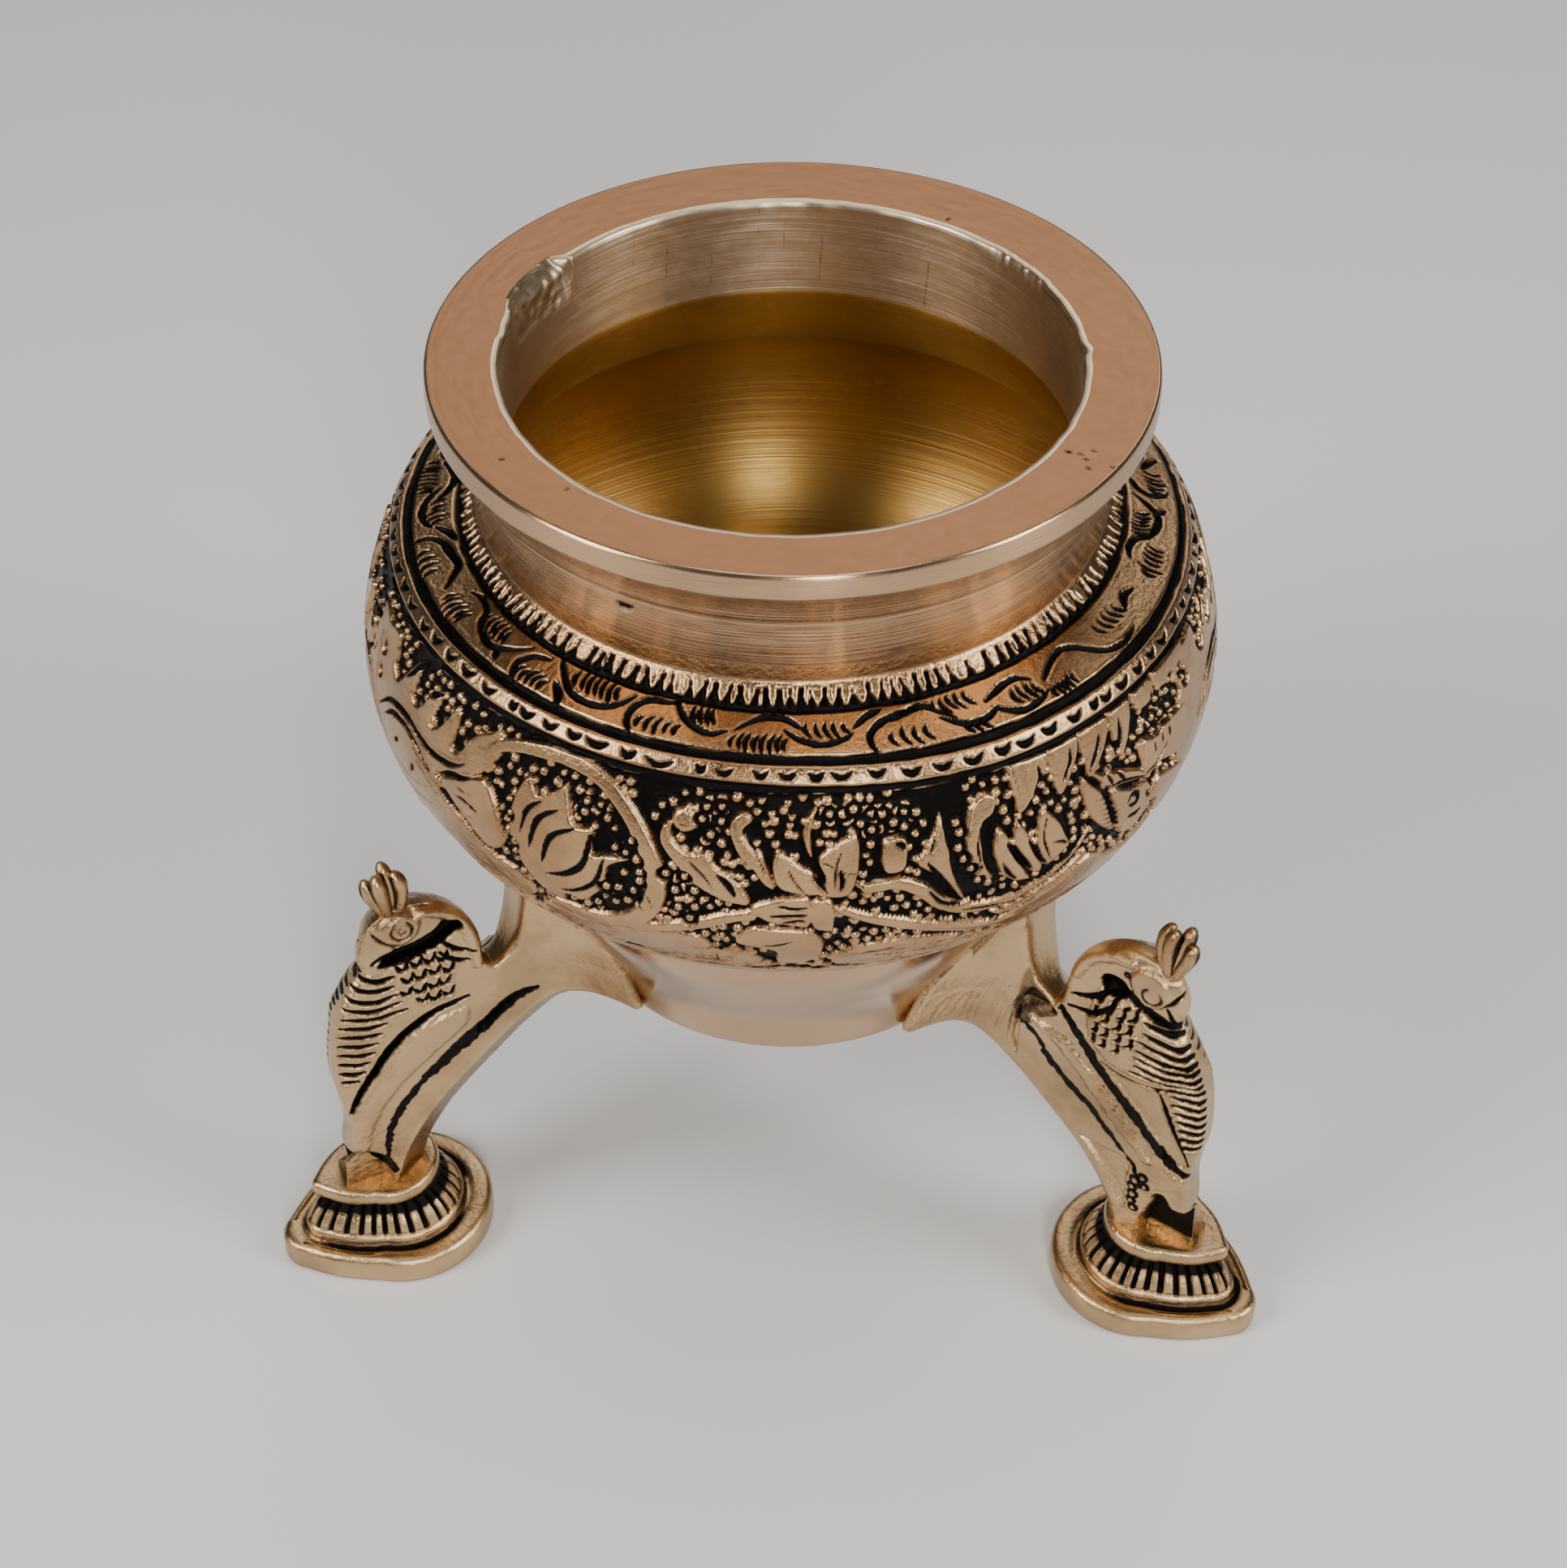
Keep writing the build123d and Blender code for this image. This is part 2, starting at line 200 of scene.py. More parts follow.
class Relief:
    """A height field that chased and punched motifs are drawn into, in mm."""

    def __init__(self, across, down, wrap, seed):
        self.across, self.down, self.wrap = across, down, wrap
        shape = (len(down), len(across))
        self.height = np.zeros(shape)
        self.black = np.zeros(shape)
        self.ragged = 0.5 * cloud(shape, (shape[0] // 4, shape[1] // 4), seed, wrap)
        self.ragged += 0.5 * cloud(shape, (shape[0] // 9, shape[1] // 9), seed + 1, wrap)
        self.scale = 1.0
        self.turn = 0.0

    def place(self, points):
        points = np.array(trail(points) if isinstance(points, str) else points, float)
        return np.column_stack([(points[:, 0] + self.turn) * self.scale, points[:, 1]])

    def window(self, path, margin):
        """Rows, columns and positions of the field within margin of path."""
        (x0, y0), (x1, y1) = path.min(0) - margin, path.max(0) + margin
        rows = np.nonzero((self.down >= y0) & (self.down <= y1))[0]
        step = (self.across[1] - self.across[0]) * self.scale
        first = int(math.ceil((x0 - self.across[0] * self.scale) / step))
        last = int(math.floor((x1 - self.across[0] * self.scale) / step))
        if not self.wrap:
            first, last = max(first, 0), min(last, len(self.across) - 1)
        columns = np.arange(first, last + 1)
        if not len(rows) or not len(columns):
            return None
        x, y = np.meshgrid(self.across[0] * self.scale + columns * step, self.down[rows])
        return np.ix_(rows, columns % len(self.across)), x, y

    def leaf(self, points, top=0.8, edge=0.5, dome=0.12, rough=0.06):
        """A raised shape with a rounded edge."""
        path = rounded(self.place(points), True)
        found = self.window(path, 0.5)
        if found:
            at, x, y = found
            d = depth_in(path, x, y) + rough * self.ragged[at]
            rise = top * ease((d + 0.15) / edge) + dome * (1 - np.exp(-np.maximum(d, 0) / 1.1))
            self.height[at] = np.maximum(self.height[at], rise)
            self.black[at] *= 1 - ease((d + 0.1) / 0.2)

    def band(self, points, half, top=0.8, edge=0.4, dome=0.1, rough=0.08):
        """A raised strip of half width half, or of widths that change from start to end."""
        path = rounded(self.place(points))
        widths = np.atleast_1d(half)
        found = self.window(path, widths.max() + 0.4)
        if found:
            at, x, y = found
            d, along = nearest(path, x, y)
            wide = np.interp(along, np.linspace(0, 1, len(widths)), widths)
            d = wide - d + rough * self.ragged[at]
            rise = top * ease((d + 0.1) / edge) + dome * ease(d / np.maximum(wide, 0.2))
            self.height[at] = np.maximum(self.height[at], rise)
            self.black[at] *= 1 - ease((d + 0.1) / 0.2)

    def cut(self, points, half=0.28, depth=0.45, taper=0.55, burr=0.06, rough=0.08, black=1.0):
        """A chisel line, darkened, with a raised burr beside it."""
        path = rounded(self.place(points))
        found = self.window(path, half + 0.7)
        if found:
            at, x, y = found
            d, along = nearest(path, x, y)
            wide = half * np.maximum(np.sin(math.pi * np.clip(along, 0.02, 0.98)), 0.05) ** taper
            d = wide - d + rough * self.ragged[at]
            self.height[at] += burr * np.exp(-(((d + 0.22) / 0.14) ** 2))
            self.height[at] -= depth * ease((d + 0.12) / (half + 0.12))
            self.black[at] = np.maximum(self.black[at], black * ease((d + 0.07) / 0.16))

    def sink(self, points, floor, edge, black=1.0, sharp=False):
        """A hollow of the given outline down to floor."""
        path = self.place(points)
        path = polyline(np.vstack([path, path[:1]]), 0.5)[:-1] if sharp else rounded(path, True)
        found = self.window(path, 0.5)
        if found:
            at, x, y = found
            d = depth_in(path, x, y) + 0.1 * self.ragged[at]
            share = ease((d + 0.15) / edge)
            lower = np.minimum(self.height[at], floor)
            self.height[at] += (lower - self.height[at]) * share
            self.black[at] = np.maximum(self.black[at], black * ease((d + 0.05) / 0.2))

    def dot(self, x0, y0, size=0.5, top=0.55, ring=True):
        """A domed punch mark in a dark ring."""
        centre = self.place([(x0, y0)])
        found = self.window(centre, size + 0.7)
        if found:
            at, x, y = found
            d = np.hypot(x - centre[0, 0], y - centre[0, 1])
            dome = top * np.sqrt(np.clip(1 - (d / size) ** 2, 0, 1))
            if ring:
                hollow = ease((size + 0.45 - d) / 0.25)
                self.height[at] += (0.05 - self.height[at]) * hollow
                self.black[at] = np.maximum(self.black[at], hollow)
                self.height[at] += 0.1 * np.exp(-(((d - size - 0.55) / 0.14) ** 2))
            self.height[at] = np.maximum(self.height[at], dome)
            self.black[at] *= 1 - ease((size * 0.96 - d) / 0.14)


def make_mesh(name, points, faces, patina_and_painted_shade, materials, material_of_face=None):
    """A smooth-shaded mesh object from points in mm."""
    points = np.asarray(points, np.float32) * MM
    mesh = bpy.data.meshes.new(name)
    sizes = np.concatenate([np.full(len(f), f.shape[1]) for f in faces]).astype(np.int32)
    corners = np.concatenate([f.reshape(-1) for f in faces]).astype(np.int32)
    mesh.vertices.add(len(points))
    mesh.vertices.foreach_set("co", points.reshape(-1))
    mesh.loops.add(len(corners))
    mesh.loops.foreach_set("vertex_index", corners)
    mesh.polygons.add(len(sizes))
    starts = np.concatenate([[0], np.cumsum(sizes)[:-1]]).astype(np.int32)
    mesh.polygons.foreach_set("loop_start", starts)
    for material in materials:
        mesh.materials.append(material)
    if material_of_face is not None:
        mesh.polygons.foreach_set("material_index", np.asarray(material_of_face, np.int32))
    mesh.update(calc_edges=True)
    mesh.validate()
    mesh.polygons.foreach_set("use_smooth", np.ones(len(mesh.polygons), bool))
    layer = mesh.attributes.new("patina_and_painted_shade", "FLOAT", "POINT")
    layer.data.foreach_set("value", np.asarray(patina_and_painted_shade, np.float32))
    mesh.update()
    thing = bpy.data.objects.new(name, mesh)
    bpy.context.scene.collection.objects.link(thing)
    return thing


def ring_faces(rows, columns, first=0):
    """Quads between rows of a grid whose columns close on themselves."""
    i = np.arange(rows - 1)[:, None] * columns
    j = np.arange(columns)[None, :]
    k = (j + 1) % columns
    return (first + np.stack([i + j, i + k, i + columns + k, i + columns + j], -1)).reshape(-1, 4)


def fan_faces(centre, start, columns, flip):
    """Triangles from one point to a closed ring."""
    j = np.arange(columns)
    k = (j + 1) % columns
    ring = [start + k, start + j] if flip else [start + j, start + k]
    return np.stack([np.full(columns, centre)] + ring, -1)


# ---------------------------------------------------------------- materials


def node(tree, kind, sources=(), **values):
    """A new node: sources are links or numbers for its first inputs, values are set by name."""
    made = tree.nodes.new(kind)
    for name, value in values.items():
        if name in made.inputs:
            made.inputs[name].default_value = value
        else:
            setattr(made, name, value)
    for socket, source in zip(made.inputs, sources):
        if isinstance(source, (int, float)):
            socket.default_value = source
        else:
            tree.links.new(source, socket)
    return made


def maths(tree, operation, *sources, clamp=False):
    return node(tree, "ShaderNodeMath", sources, operation=operation, use_clamp=clamp).outputs[0]


def plus(tree, a, b):
    return maths(tree, "ADD", a, b)


def times(tree, a, b, clamp=False):
    return maths(tree, "MULTIPLY", a, b, clamp=clamp)


def minus(tree, a, b, clamp=False):
    return maths(tree, "SUBTRACT", a, b, clamp=clamp)


def blend_colour(tree, share, first, second):
    made = node(tree, "ShaderNodeMix", data_type="RGBA")
    for at, value in ((0, share), (6, first), (7, second)):
        if isinstance(value, tuple):
            made.inputs[at].default_value = value
        else:
            tree.links.new(value, made.inputs[at])
    return made.outputs[2]


def noise(tree, vector, scale, detail, roughness=0.6):
    return node(
        tree, "ShaderNodeTexNoise", (vector,), Scale=scale, Detail=detail, Roughness=roughness
    ).outputs[0]


def turned_coordinates(tree, position, lengthwise, around):
    """Coordinates that are fine across the turning marks and long around them."""
    x, y, z = node(tree, "ShaderNodeSeparateXYZ", (position,)).outputs
    angle = maths(tree, "ARCTAN2", y, x)
    radius = maths(tree, "SQRT", plus(tree, times(tree, x, x), times(tree, y, y)))
    across = times(tree, maths(tree, "SINE", angle), around)
    along = times(tree, maths(tree, "COSINE", angle), around)
    up = times(tree, plus(tree, z, times(tree, radius, 0.8)), lengthwise)
    return node(tree, "ShaderNodeCombineXYZ", (across, along, up)).outputs[0]


BLACK = (0.008, 0.0072, 0.0068, 1.0)
# where the mesh's patina values start to turn the metal brown, for stains and painted shade, and
# from where to where black
BROWN_FROM, BLACK_FROM, BLACK_TO = 0.04, 0.33, 0.68
GRAIN_DEPTH = 0.0006


def brass(name, colour, tarnish, roughness, grain, tarnish_share=0.35, turning=None, brushed=0.0):
    """Brass with black patina where the mesh says so, a brown tint for stains and painted shade,
    tarnish, and fine marks in the surface.

    turning is (fineness across the marks, length round them, strength), and brushed is the
    anisotropy.
    """
    material = bpy.data.materials.new(name)
    material.use_nodes = True
    tree = material.node_tree
    tree.nodes.clear()
    shader = node(tree, "ShaderNodeBsdfPrincipled", Metallic=1.0)
    tree.links.new(shader.outputs[0], tree.nodes.new("ShaderNodeOutputMaterial").inputs[0])
    position = tree.nodes.new("ShaderNodeTexCoord").outputs["Object"]
    patina_and_painted_shade = node(tree, "ShaderNodeAttribute", attribute_name="patina_and_painted_shade").outputs["Fac"]

    wide = noise(tree, position, 90.0, 4.0)
    fine = noise(tree, position, 900.0, 4.0)
    share = times(tree, minus(tree, wide, 0.42, clamp=True), 3.2 * tarnish_share, clamp=True)
    metal = blend_colour(tree, share, (*colour, 1.0), (*tarnish, 1.0))
    # low patina values tint the metal brown: stains, and painted shade where the mesh asks for it
    # (a leg's bevel, the top of the bowl's inside wall)
    shade = times(tree, minus(tree, patina_and_painted_shade, BROWN_FROM), 3.4, clamp=True)
    brown = tuple(0.72 * c for c in tarnish) + (1.0,)
    metal = blend_colour(tree, times(tree, shade, 0.8), metal, brown)
    if brushed:
        shader.inputs["Anisotropic"].default_value = brushed
        shader.inputs["Anisotropic Rotation"].default_value = 0.25
        tangent = node(tree, "ShaderNodeTangent", direction_type="RADIAL", axis="Z")
        tree.links.new(tangent.outputs[0], shader.inputs["Tangent"])

    # the patina's edge is ragged
    edge = plus(tree, patina_and_painted_shade, times(tree, minus(tree, fine, 0.5), 0.55))
    mask = node(tree, "ShaderNodeMapRange", (edge,), interpolation_type="SMOOTHSTEP")
    mask.inputs["From Min"].default_value = BLACK_FROM
    mask.inputs["From Max"].default_value = BLACK_TO
    dark = mask.outputs[0]
    tree.links.new(blend_colour(tree, dark, metal, BLACK), shader.inputs["Base Color"])
    rough = plus(tree, roughness - 0.05, times(tree, fine, 0.12))
    rough = plus(tree, rough, times(tree, dark, 0.30))
    tree.links.new(rough, shader.inputs["Roughness"])

    height = noise(tree, position, 1500.0, 5.0, 0.65)
    if turning:
        lines = noise(tree, turned_coordinates(tree, position, *turning[:2]), 1.0, 2.0)
        height = plus(tree, times(tree, height, 0.07), times(tree, lines, turning[2]))
    bump = node(tree, "ShaderNodeBump", Strength=1.0, Distance=GRAIN_DEPTH * grain)
    tree.links.new(height, bump.inputs["Height"])
    tree.links.new(bump.outputs[0], shader.inputs["Normal"])
    return material


CHASED = brass("chased_brass", (0.52, 0.325, 0.165), (0.25, 0.13, 0.06), 0.17, 0.17, 0.75)
TURNED = brass(
    "turned_brass", (0.52, 0.34, 0.20), (0.38, 0.225, 0.13), 0.24, 0.12,
    turning=(4200.0, 1.6, 1.0), brushed=0.8,
)
RIM_TOP = brass(
    "rim_top_brass", (0.35, 0.17, 0.083), (0.28, 0.13, 0.062), 0.42, 0.06, 0.25,
    turning=(900.0, 14.0, 0.5),
)
INSIDE = brass(
    "inside_brass", (0.60, 0.36, 0.105), (0.44, 0.245, 0.06), 0.36, 0.13,
    turning=(1900.0, 0.5, 1.0), brushed=0.75,
)
BORE = brass(
    "bore_brass", (0.66, 0.53, 0.37), (0.42, 0.31, 0.19), 0.36, 0.15,
    turning=(1700.0, 0.6, 1.0), brushed=0.6,
)
COLLAR = brass(
    "collar_brass", (0.56, 0.385, 0.245), (0.42, 0.26, 0.165), 0.13, 0.05,
    turning=(3200.0, 1.5, 0.5), brushed=0.5,
)
CAST = brass("cast_leg_brass", (0.58, 0.40, 0.215), (0.27, 0.155, 0.07), 0.16, 0.2, 0.8)
SEAT = brass(
    "seat_brass", (0.50, 0.33, 0.18), (0.28, 0.165, 0.08), 0.30, 0.3, 0.6,
    turning=(2600.0, 4.0, 0.6),
)
BRAZE = brass("braze_brass", (0.42, 0.28, 0.155), (0.20, 0.12, 0.06), 0.30, 0.8, 0.8)


# ---------------------------------------------------------------- the bowl's outline

NECK_TOP = trail("33.8,101 34.6,107 35.3,107.9 35.9,109.6 36.8,111.3 38,112.6")
SHOULDER = trail("33.8,101 33.8,99 36.3,97 41.5,95.8")
BELLY = trail("41.5,95.8 45.4,90 47.4,80.5 45.4,71.3 40.6,64.8 34.4,60")
UNDERSIDE = trail("4,57.6 23.4,57.6 24,57 29.6,57 29.8,57.2 29.8,60 34.2,60")
WALL = trail("0,60.5 31.5,63.2 40.6,69.8 43.8,80 41,89.6 33.5,95.2 30,103.5")
TOP = 115.3
BORE_RADIUS = 30.0
# the mouth stands this far off the bowl's axis
MOUTH_SHIFT = (-0.1, -1.1)
# the raised metal stands GROUND above the sunk ground, and at most HIGHEST out of the profile
GROUND = 0.8
HIGHEST = 0.01
BELLY_SCALE = math.radians(46.0)
SHOULDER_SCALE = math.radians(39.5)

COLUMNS = 1500
ROW = 0.19


def outside_profile():
    """(radius, height) down the outside from the neck's foot, and the length along it."""
    belly = clamped_curve(BELLY, (1, -0.45), (-1, -0.62), 0.05)
    points = np.vstack([polyline(SHOULDER, 0.05)[:-1], belly])
    length = np.r_[0, np.cumsum(np.hypot(*np.diff(points, axis=0).T))]
    return points, length


def soften(values, length, reach):
    """Values blurred along the profile, to round its corners."""
    fine = np.arange(length[0], length[-1], 0.05)
    even = np.stack([np.interp(fine, length, v) for v in values.T])
    count = int(reach / 0.05) | 1
    kernel = np.hanning(count + 2)[1:-1]
    kernel /= kernel.sum()
    padded = np.pad(even, ((0, 0), (count // 2, count // 2)), mode="edge")
    smooth = np.stack([np.convolve(v, kernel, "valid") for v in padded])
    return fine, smooth.T


# ---------------------------------------------------------------- the chased decoration
# Control points are (angle in degrees, millimetres down the outside from the neck's foot).

COMBS_DOWN = [
    (-137.5, 6.6, 6, 1.0, 2.2),
    (-116.0, 6.3, 7, 1.15, 2.3),
    (-98.2, 6.1, 4, 1.0, 2.2),
    (-79.8, 7.1, 5, 1.3, 2.2),
    (-60.3, 6.5, 5, 1.2, 2.2),
    (-27.5, 7.5, 5, 1.4, 2.0),
]
COMBS_UP = [
    (-146.0, 8.5, 6, 1.1, 2.4),
    (-126.0, 8.7, 5, 1.1, 2.1),
    (-104.5, 8.5, 5, 1.35, 2.3),
    (-89.5, 8.7, 8, 1.05, 2.2),
    (-68.0, 9.0, 4, 1.6, 2.3),
    (-58.4, 9.9, 3, 1.2, 1.7),
    (-48.8, 8.5, 4, 1.2, 2.2),
    (-43.0, 9.9, 5, 1.0, 1.6),
]
SHOULDER_LINES = paths("""
line: -147.5,6.1 -145,5.6 -142,6.2 -140.5,7.5 -137,8.4 -134.5,8.2 -132,7.1 -130,5.9
line: -134.3,8.2 -133.2,9.2
line: -126,5.9 -128.5,6.5 -129.8,7.9 -129.2,9.2 -128.3,9.9
line: -124.5,5.1 -121.5,7 -118.5,8.2 -114.5,8.3 -111.5,7.3 -109.8,5.8
line: -122.5,7.8 -121,8.6 -119.7,9.9
line: -103.5,5.4 -107.5,5.8 -109.3,7.2 -109.3,8.7 -107.9,10
line: -103.4,4.9 -101.7,6.5 -99.5,7.6 -97,8.2 -94.6,7.6
line: -93.5,7.4 -91.5,6.3 -89,5.6 -86,5.8 -83.3,7.1
line: -86.3,7.1 -84,8.2 -80.8,8.8 -78,8.4 -76.4,7.8
line: -76.2,7.2 -74,6 -71.3,5.3
line: -65,6 -69,6.2 -72,6.9 -73.8,8 -74.1,9.2 -73.4,10.4
line: -70.5,6.9 -65.5,5.9 -62.8,7.1 -61,8.3
line: -63.2,7.8 -60,9.3 -57,9.4 -54.3,8.6
line: -54.8,8.7 -51.5,10.1 -48,9.9 -46,9.4
line: -55.5,7.6 -52,6.7 -49,6.5 -47,7.4
line: -45.2,8.1 -42,6.9 -39,6.4 -36.8,7.1 -35,8.5 -33,9.7 -30,10.2 -26.5,9.9
line: -24,8 -21.5,7.2 -19,7.6
""")
# the decoration is repeated at these turns, each up to the angle given second
SEQUENCE_TURNS = [(0.0, 360.0), (135.0, 360.0), (270.0, -64.0)]


def repeats(relief, scale):
    """Each turn that the decoration starts again at, with a test of what still fits in it."""
    relief.scale = scale
    for turn, last in SEQUENCE_TURNS:
        relief.turn = turn
        yield lambda angle: angle < last
    relief.turn = 0.0


def drift(theta):
    """How far the bands under the shoulder wander down, from 0 to 1, round the bowl."""
    theta = (np.asarray(theta, float) + 180.0) % 360.0 - 180.0
    return np.where(theta < 60, ease((theta + 92) / 42.0), 1 - ease((theta - 60) / 110.0))


def draw_beads(relief):
    """The row of knocked-up beads at the foot of the neck."""
    relief.scale, relief.turn = SHOULDER_SCALE * 0.93, 0.0
    place = -180.0
    while place < 179.0:
        lean = rng.normal(0, 0.35)
        stem = 0.20 + 0.22 * rng.random()
        foot = 0.42 + 0.34 * rng.random()
        low = 4.6 + rng.normal(0, 0.08)
        top = 2.55 + rng.normal(0, 0.15)
        outline = [
            (place - stem * 1.4 + lean, top),
            (place + stem * 1.4 + lean, top),
            (place + stem + lean * 0.5, 3.4),
            (place + foot * 1.7, low),
            (place - foot * 1.7, low),
            (place - stem + lean * 0.5, 3.4),
        ]
        relief.sink(outline, floor=0.18, edge=0.45, sharp=True)
        if rng.random() < 0.45:
            relief.cut([(place + 1.0, 2.9), (place + 1.2, 4.2)], 0.09, 0.16, burr=0.1, black=0.7)
        place += 2.15 + rng.normal(0, 0.28) + (1.2 if rng.random() < 0.08 else 0.0)


def comb(relief, centre, level, count, pitch, size, lean):
    """A row of small crescent cuts."""
    for k in range(count):
        x = centre + (k - (count - 1) / 2) * (pitch * 1.05) * (1 + rng.normal(0, 0.05))
        size_k = size * (1 + rng.normal(0, 0.1)) * (0.8 if k in (0, count - 1) else 1.0)
        y = level + rng.normal(0, 0.08)
        points = [(x - lean, y - size_k / 2), (x - 0.55, y - 0.1), (x + lean, y + size_k / 2)]
        relief.cut(points, 0.25 + 0.07 * rng.random(), 0.38, burr=0.08, rough=0.07)


def draw_shoulder(relief):
    for fits in repeats(relief, SHOULDER_SCALE):
        for _, line in SHOULDER_LINES:
            if fits(line[0][0]):
                relief.cut(line, 0.42, 0.5, taper=0.35, burr=0.09)
        for row in COMBS_DOWN:
            if fits(row[0]):
                comb(relief, *row, 0.35)
        for row in COMBS_UP:
            if fits(row[0]):
                comb(relief, *row, -0.25 if row[2] > 4 else 0.25)


def draw_bands(relief):
    """The black line under the beads, the two grooves, and the crescents between them."""
    angles, s = np.meshgrid(relief.across, relief.down)
    wander = drift(angles)
    thick = 0.06 * cloud(angles.shape, (30, 150), 31, True)
    for middle, half, depth in (
        (2.2 + 2 * thick, 0.13, 0.3),
        (4.80, 0.34, 0.5),
        (10.45 + 0.95 * wander, 0.60, 0.6),
        (13.5 + 1.1 * wander, 0.43, 0.55),
    ):
        d = half - np.abs(s - middle) + thick
        relief.height -= depth * ease((d + 0.15) / 0.4)
        relief.height += 0.06 * np.exp(-(((d + 0.28) / 0.15) ** 2))
        relief.black = np.maximum(relief.black, ease((d + 0.06) / 0.16))
    relief.scale, relief.turn = SHOULDER_SCALE * 1.1, 0.0
    place = -180.0
    while place < 178.0:
        reach = 1.45 + rng.normal(0, 0.3)
        level = 11.75 + 1.05 * float(drift(place)) + rng.normal(0, 0.08)
        sag = 0.55 + 0.15 * rng.random()
        crescent = [(place - reach, level), (place, level + sag), (place + reach, level)]
        relief.cut(crescent, 0.31 + 0.09 * rng.random(), 0.45, taper=0.7, burr=0.09)
        place += 2 * reach + 0.9 + abs(rng.normal(0, 0.5))


RAISED_LEAVES = paths("""
bud: -120.3,18.2 -122,21 -122.6,25 -121.3,28.5 -118.5,31.6 -115,32.6 -111.2,31 -108.6,28
    -107.9,25.2 -105.3,23.5 -108,23.6 -110.2,24 -110.3,21.2 -112.8,21.3 -113.9,18.4 -114.6,17.2
    -116.6,18.6 -118.6,19.6
oval: -129.8,22.2 -127,21.4 -125,23 -123.9,25.5 -123.5,28 -124.6,29.6 -127,29.9 -130,28.2
    -133.5,26.5 -135.5,25.2 -133,23.9
paisley_body: -101.3,18.6 -101.5,20.6 -99.2,23 -96.5,25.1 -93,26.6 -90.1,26.7 -90.8,25 -92.3,23.4
    -94.3,22.2 -95,21.2 -97.8,21.1 -99.8,19.9 -100.2,18.2
leaf_b: -92.9,18 -92.2,16.4 -90.7,16 -89.9,17 -91,18.2 -90,19.6 -88.6,20.6 -88,22 -87,24.5
    -88.4,24.2 -90,22.4 -91.9,20.6
leaf_c: -86.8,20 -84.2,21.6 -82.4,22.6 -80.9,25 -83.5,25.3 -86.6,24.5 -87.6,22
leaf_d: -82,21 -80,19.5 -77.8,18.5 -76.8,18.9 -76.8,22 -77.4,24.5 -78.5,25.7 -82,25.4 -81.2,23.4
leaf_e: -81.9,15.4 -83.3,16.4 -83.9,18.4 -83.3,20.4 -82.5,21 -82.6,18
knot: -90.2,27.1 -87.2,25.8 -83,25.6 -82.8,29.5 -85.5,29.5 -88.2,28.9
strap: -82.5,26 -80.1,26.3 -79.8,30 -81,30.5 -82.7,29.6
leaf_f: -92.1,32.8 -90.2,30.3 -88.5,29.9 -84,30.3 -82,31.3 -80.9,33.5 -81.8,36 -84,37.3 -87,37
    -87.4,34.2
block_g: -73.8,19.6 -71,19.7 -70.9,22.5 -72,23.5 -74,23.1
leaf_h: -66.4,17.8 -67.8,20.2 -69.8,22.8 -68,24.4 -65.3,27.6 -63.4,28.8 -65,25 -65.6,21.5
paisley_i: -62.5,18 -60.6,16.9 -58.7,17.6 -59.2,19.3 -60.9,20.2 -61.2,22.6 -60.6,25.4 -59,28.2
    -61.2,27.6 -62.8,24.6 -63.2,21.2
feather_1: -59,21.2 -57.6,22.2 -57,24.6 -55.3,27.4 -54.3,29.2 -56.8,28.6 -58.9,26.4 -59.7,23.6
feather_2: -56.2,21.2 -54.8,22.8 -53.5,25.6 -52.5,28.4 -54.1,28.6 -55.8,25.8 -56.9,23.2
leaf_j: -53.4,24.6 -52.7,21 -50.4,22.6 -49,25.2 -48.4,26.9 -50.4,27.9 -52.4,28.2
branch_leaf: -45.9,19.8 -44.2,21.2 -42.4,23.4 -41.6,26 -40.3,29.2 -43,27.4 -45.4,24.2
branch: -44.6,19.6 -41.8,20.9 -38.4,22 -34.6,23.9 -34.2,25.2 -38.2,24 -41.6,22.9
leaf_k: -40.9,23.6 -37.2,25 -33.6,25.9 -32.6,29.8 -36.4,31.6 -39.6,29.8
leaf_l: -34.3,20.8 -30.8,21.3 -26.6,21.2 -22.6,22 -21.2,25 -26,26.6 -31,25.2 -34.4,25.4
leaf_m: -31.5,27 -27,28 -23,30 -24,34 -29,33.5 -32.5,30.5
wing: -159,17 -154,15.9 -150.8,15.6 -150.2,19 -148.4,20 -146.6,17.8 -144.4,15.4 -143.7,16.4
    -144,19.4 -142.2,19.8 -140,17.2 -137.6,15.9 -138.2,18.4 -138.8,20.2 -137.2,19.8 -135.2,17
    -134.2,15.8 -133.4,17.2 -133.9,20.4 -132.6,20.6 -130.8,18 -128.5,16.3 -125.6,15.2 -125,17.4
    -126.8,20 -129.6,22.6 -134,24.6 -136,25.6 -130,29 -125,31 -122,31.4 -119.5,33.4 -122,36.2
    -132,36.6 -146,36.4 -159,36
low_left: -118.5,35.2 -112,35 -106,33.8 -100,32.6 -96.5,32.8 -95,35 -96,38 -108,38.6 -118,38.6
low_mid: -94.5,36 -92,34.6 -89.2,36.4 -88.6,38.4 -94,38.6
low_right: -79.5,35.6 -76,33.9 -71,33.6 -66,34.9 -62,36.4 -60,38.4 -70,38.8 -79,38.6
low_far: -56.5,35 -51,33.2 -46,31.2 -42.5,31.4 -40,33.2 -34,35.4 -27,36.4 -26,38.6 -44,38.8
    -57,38.4
""")
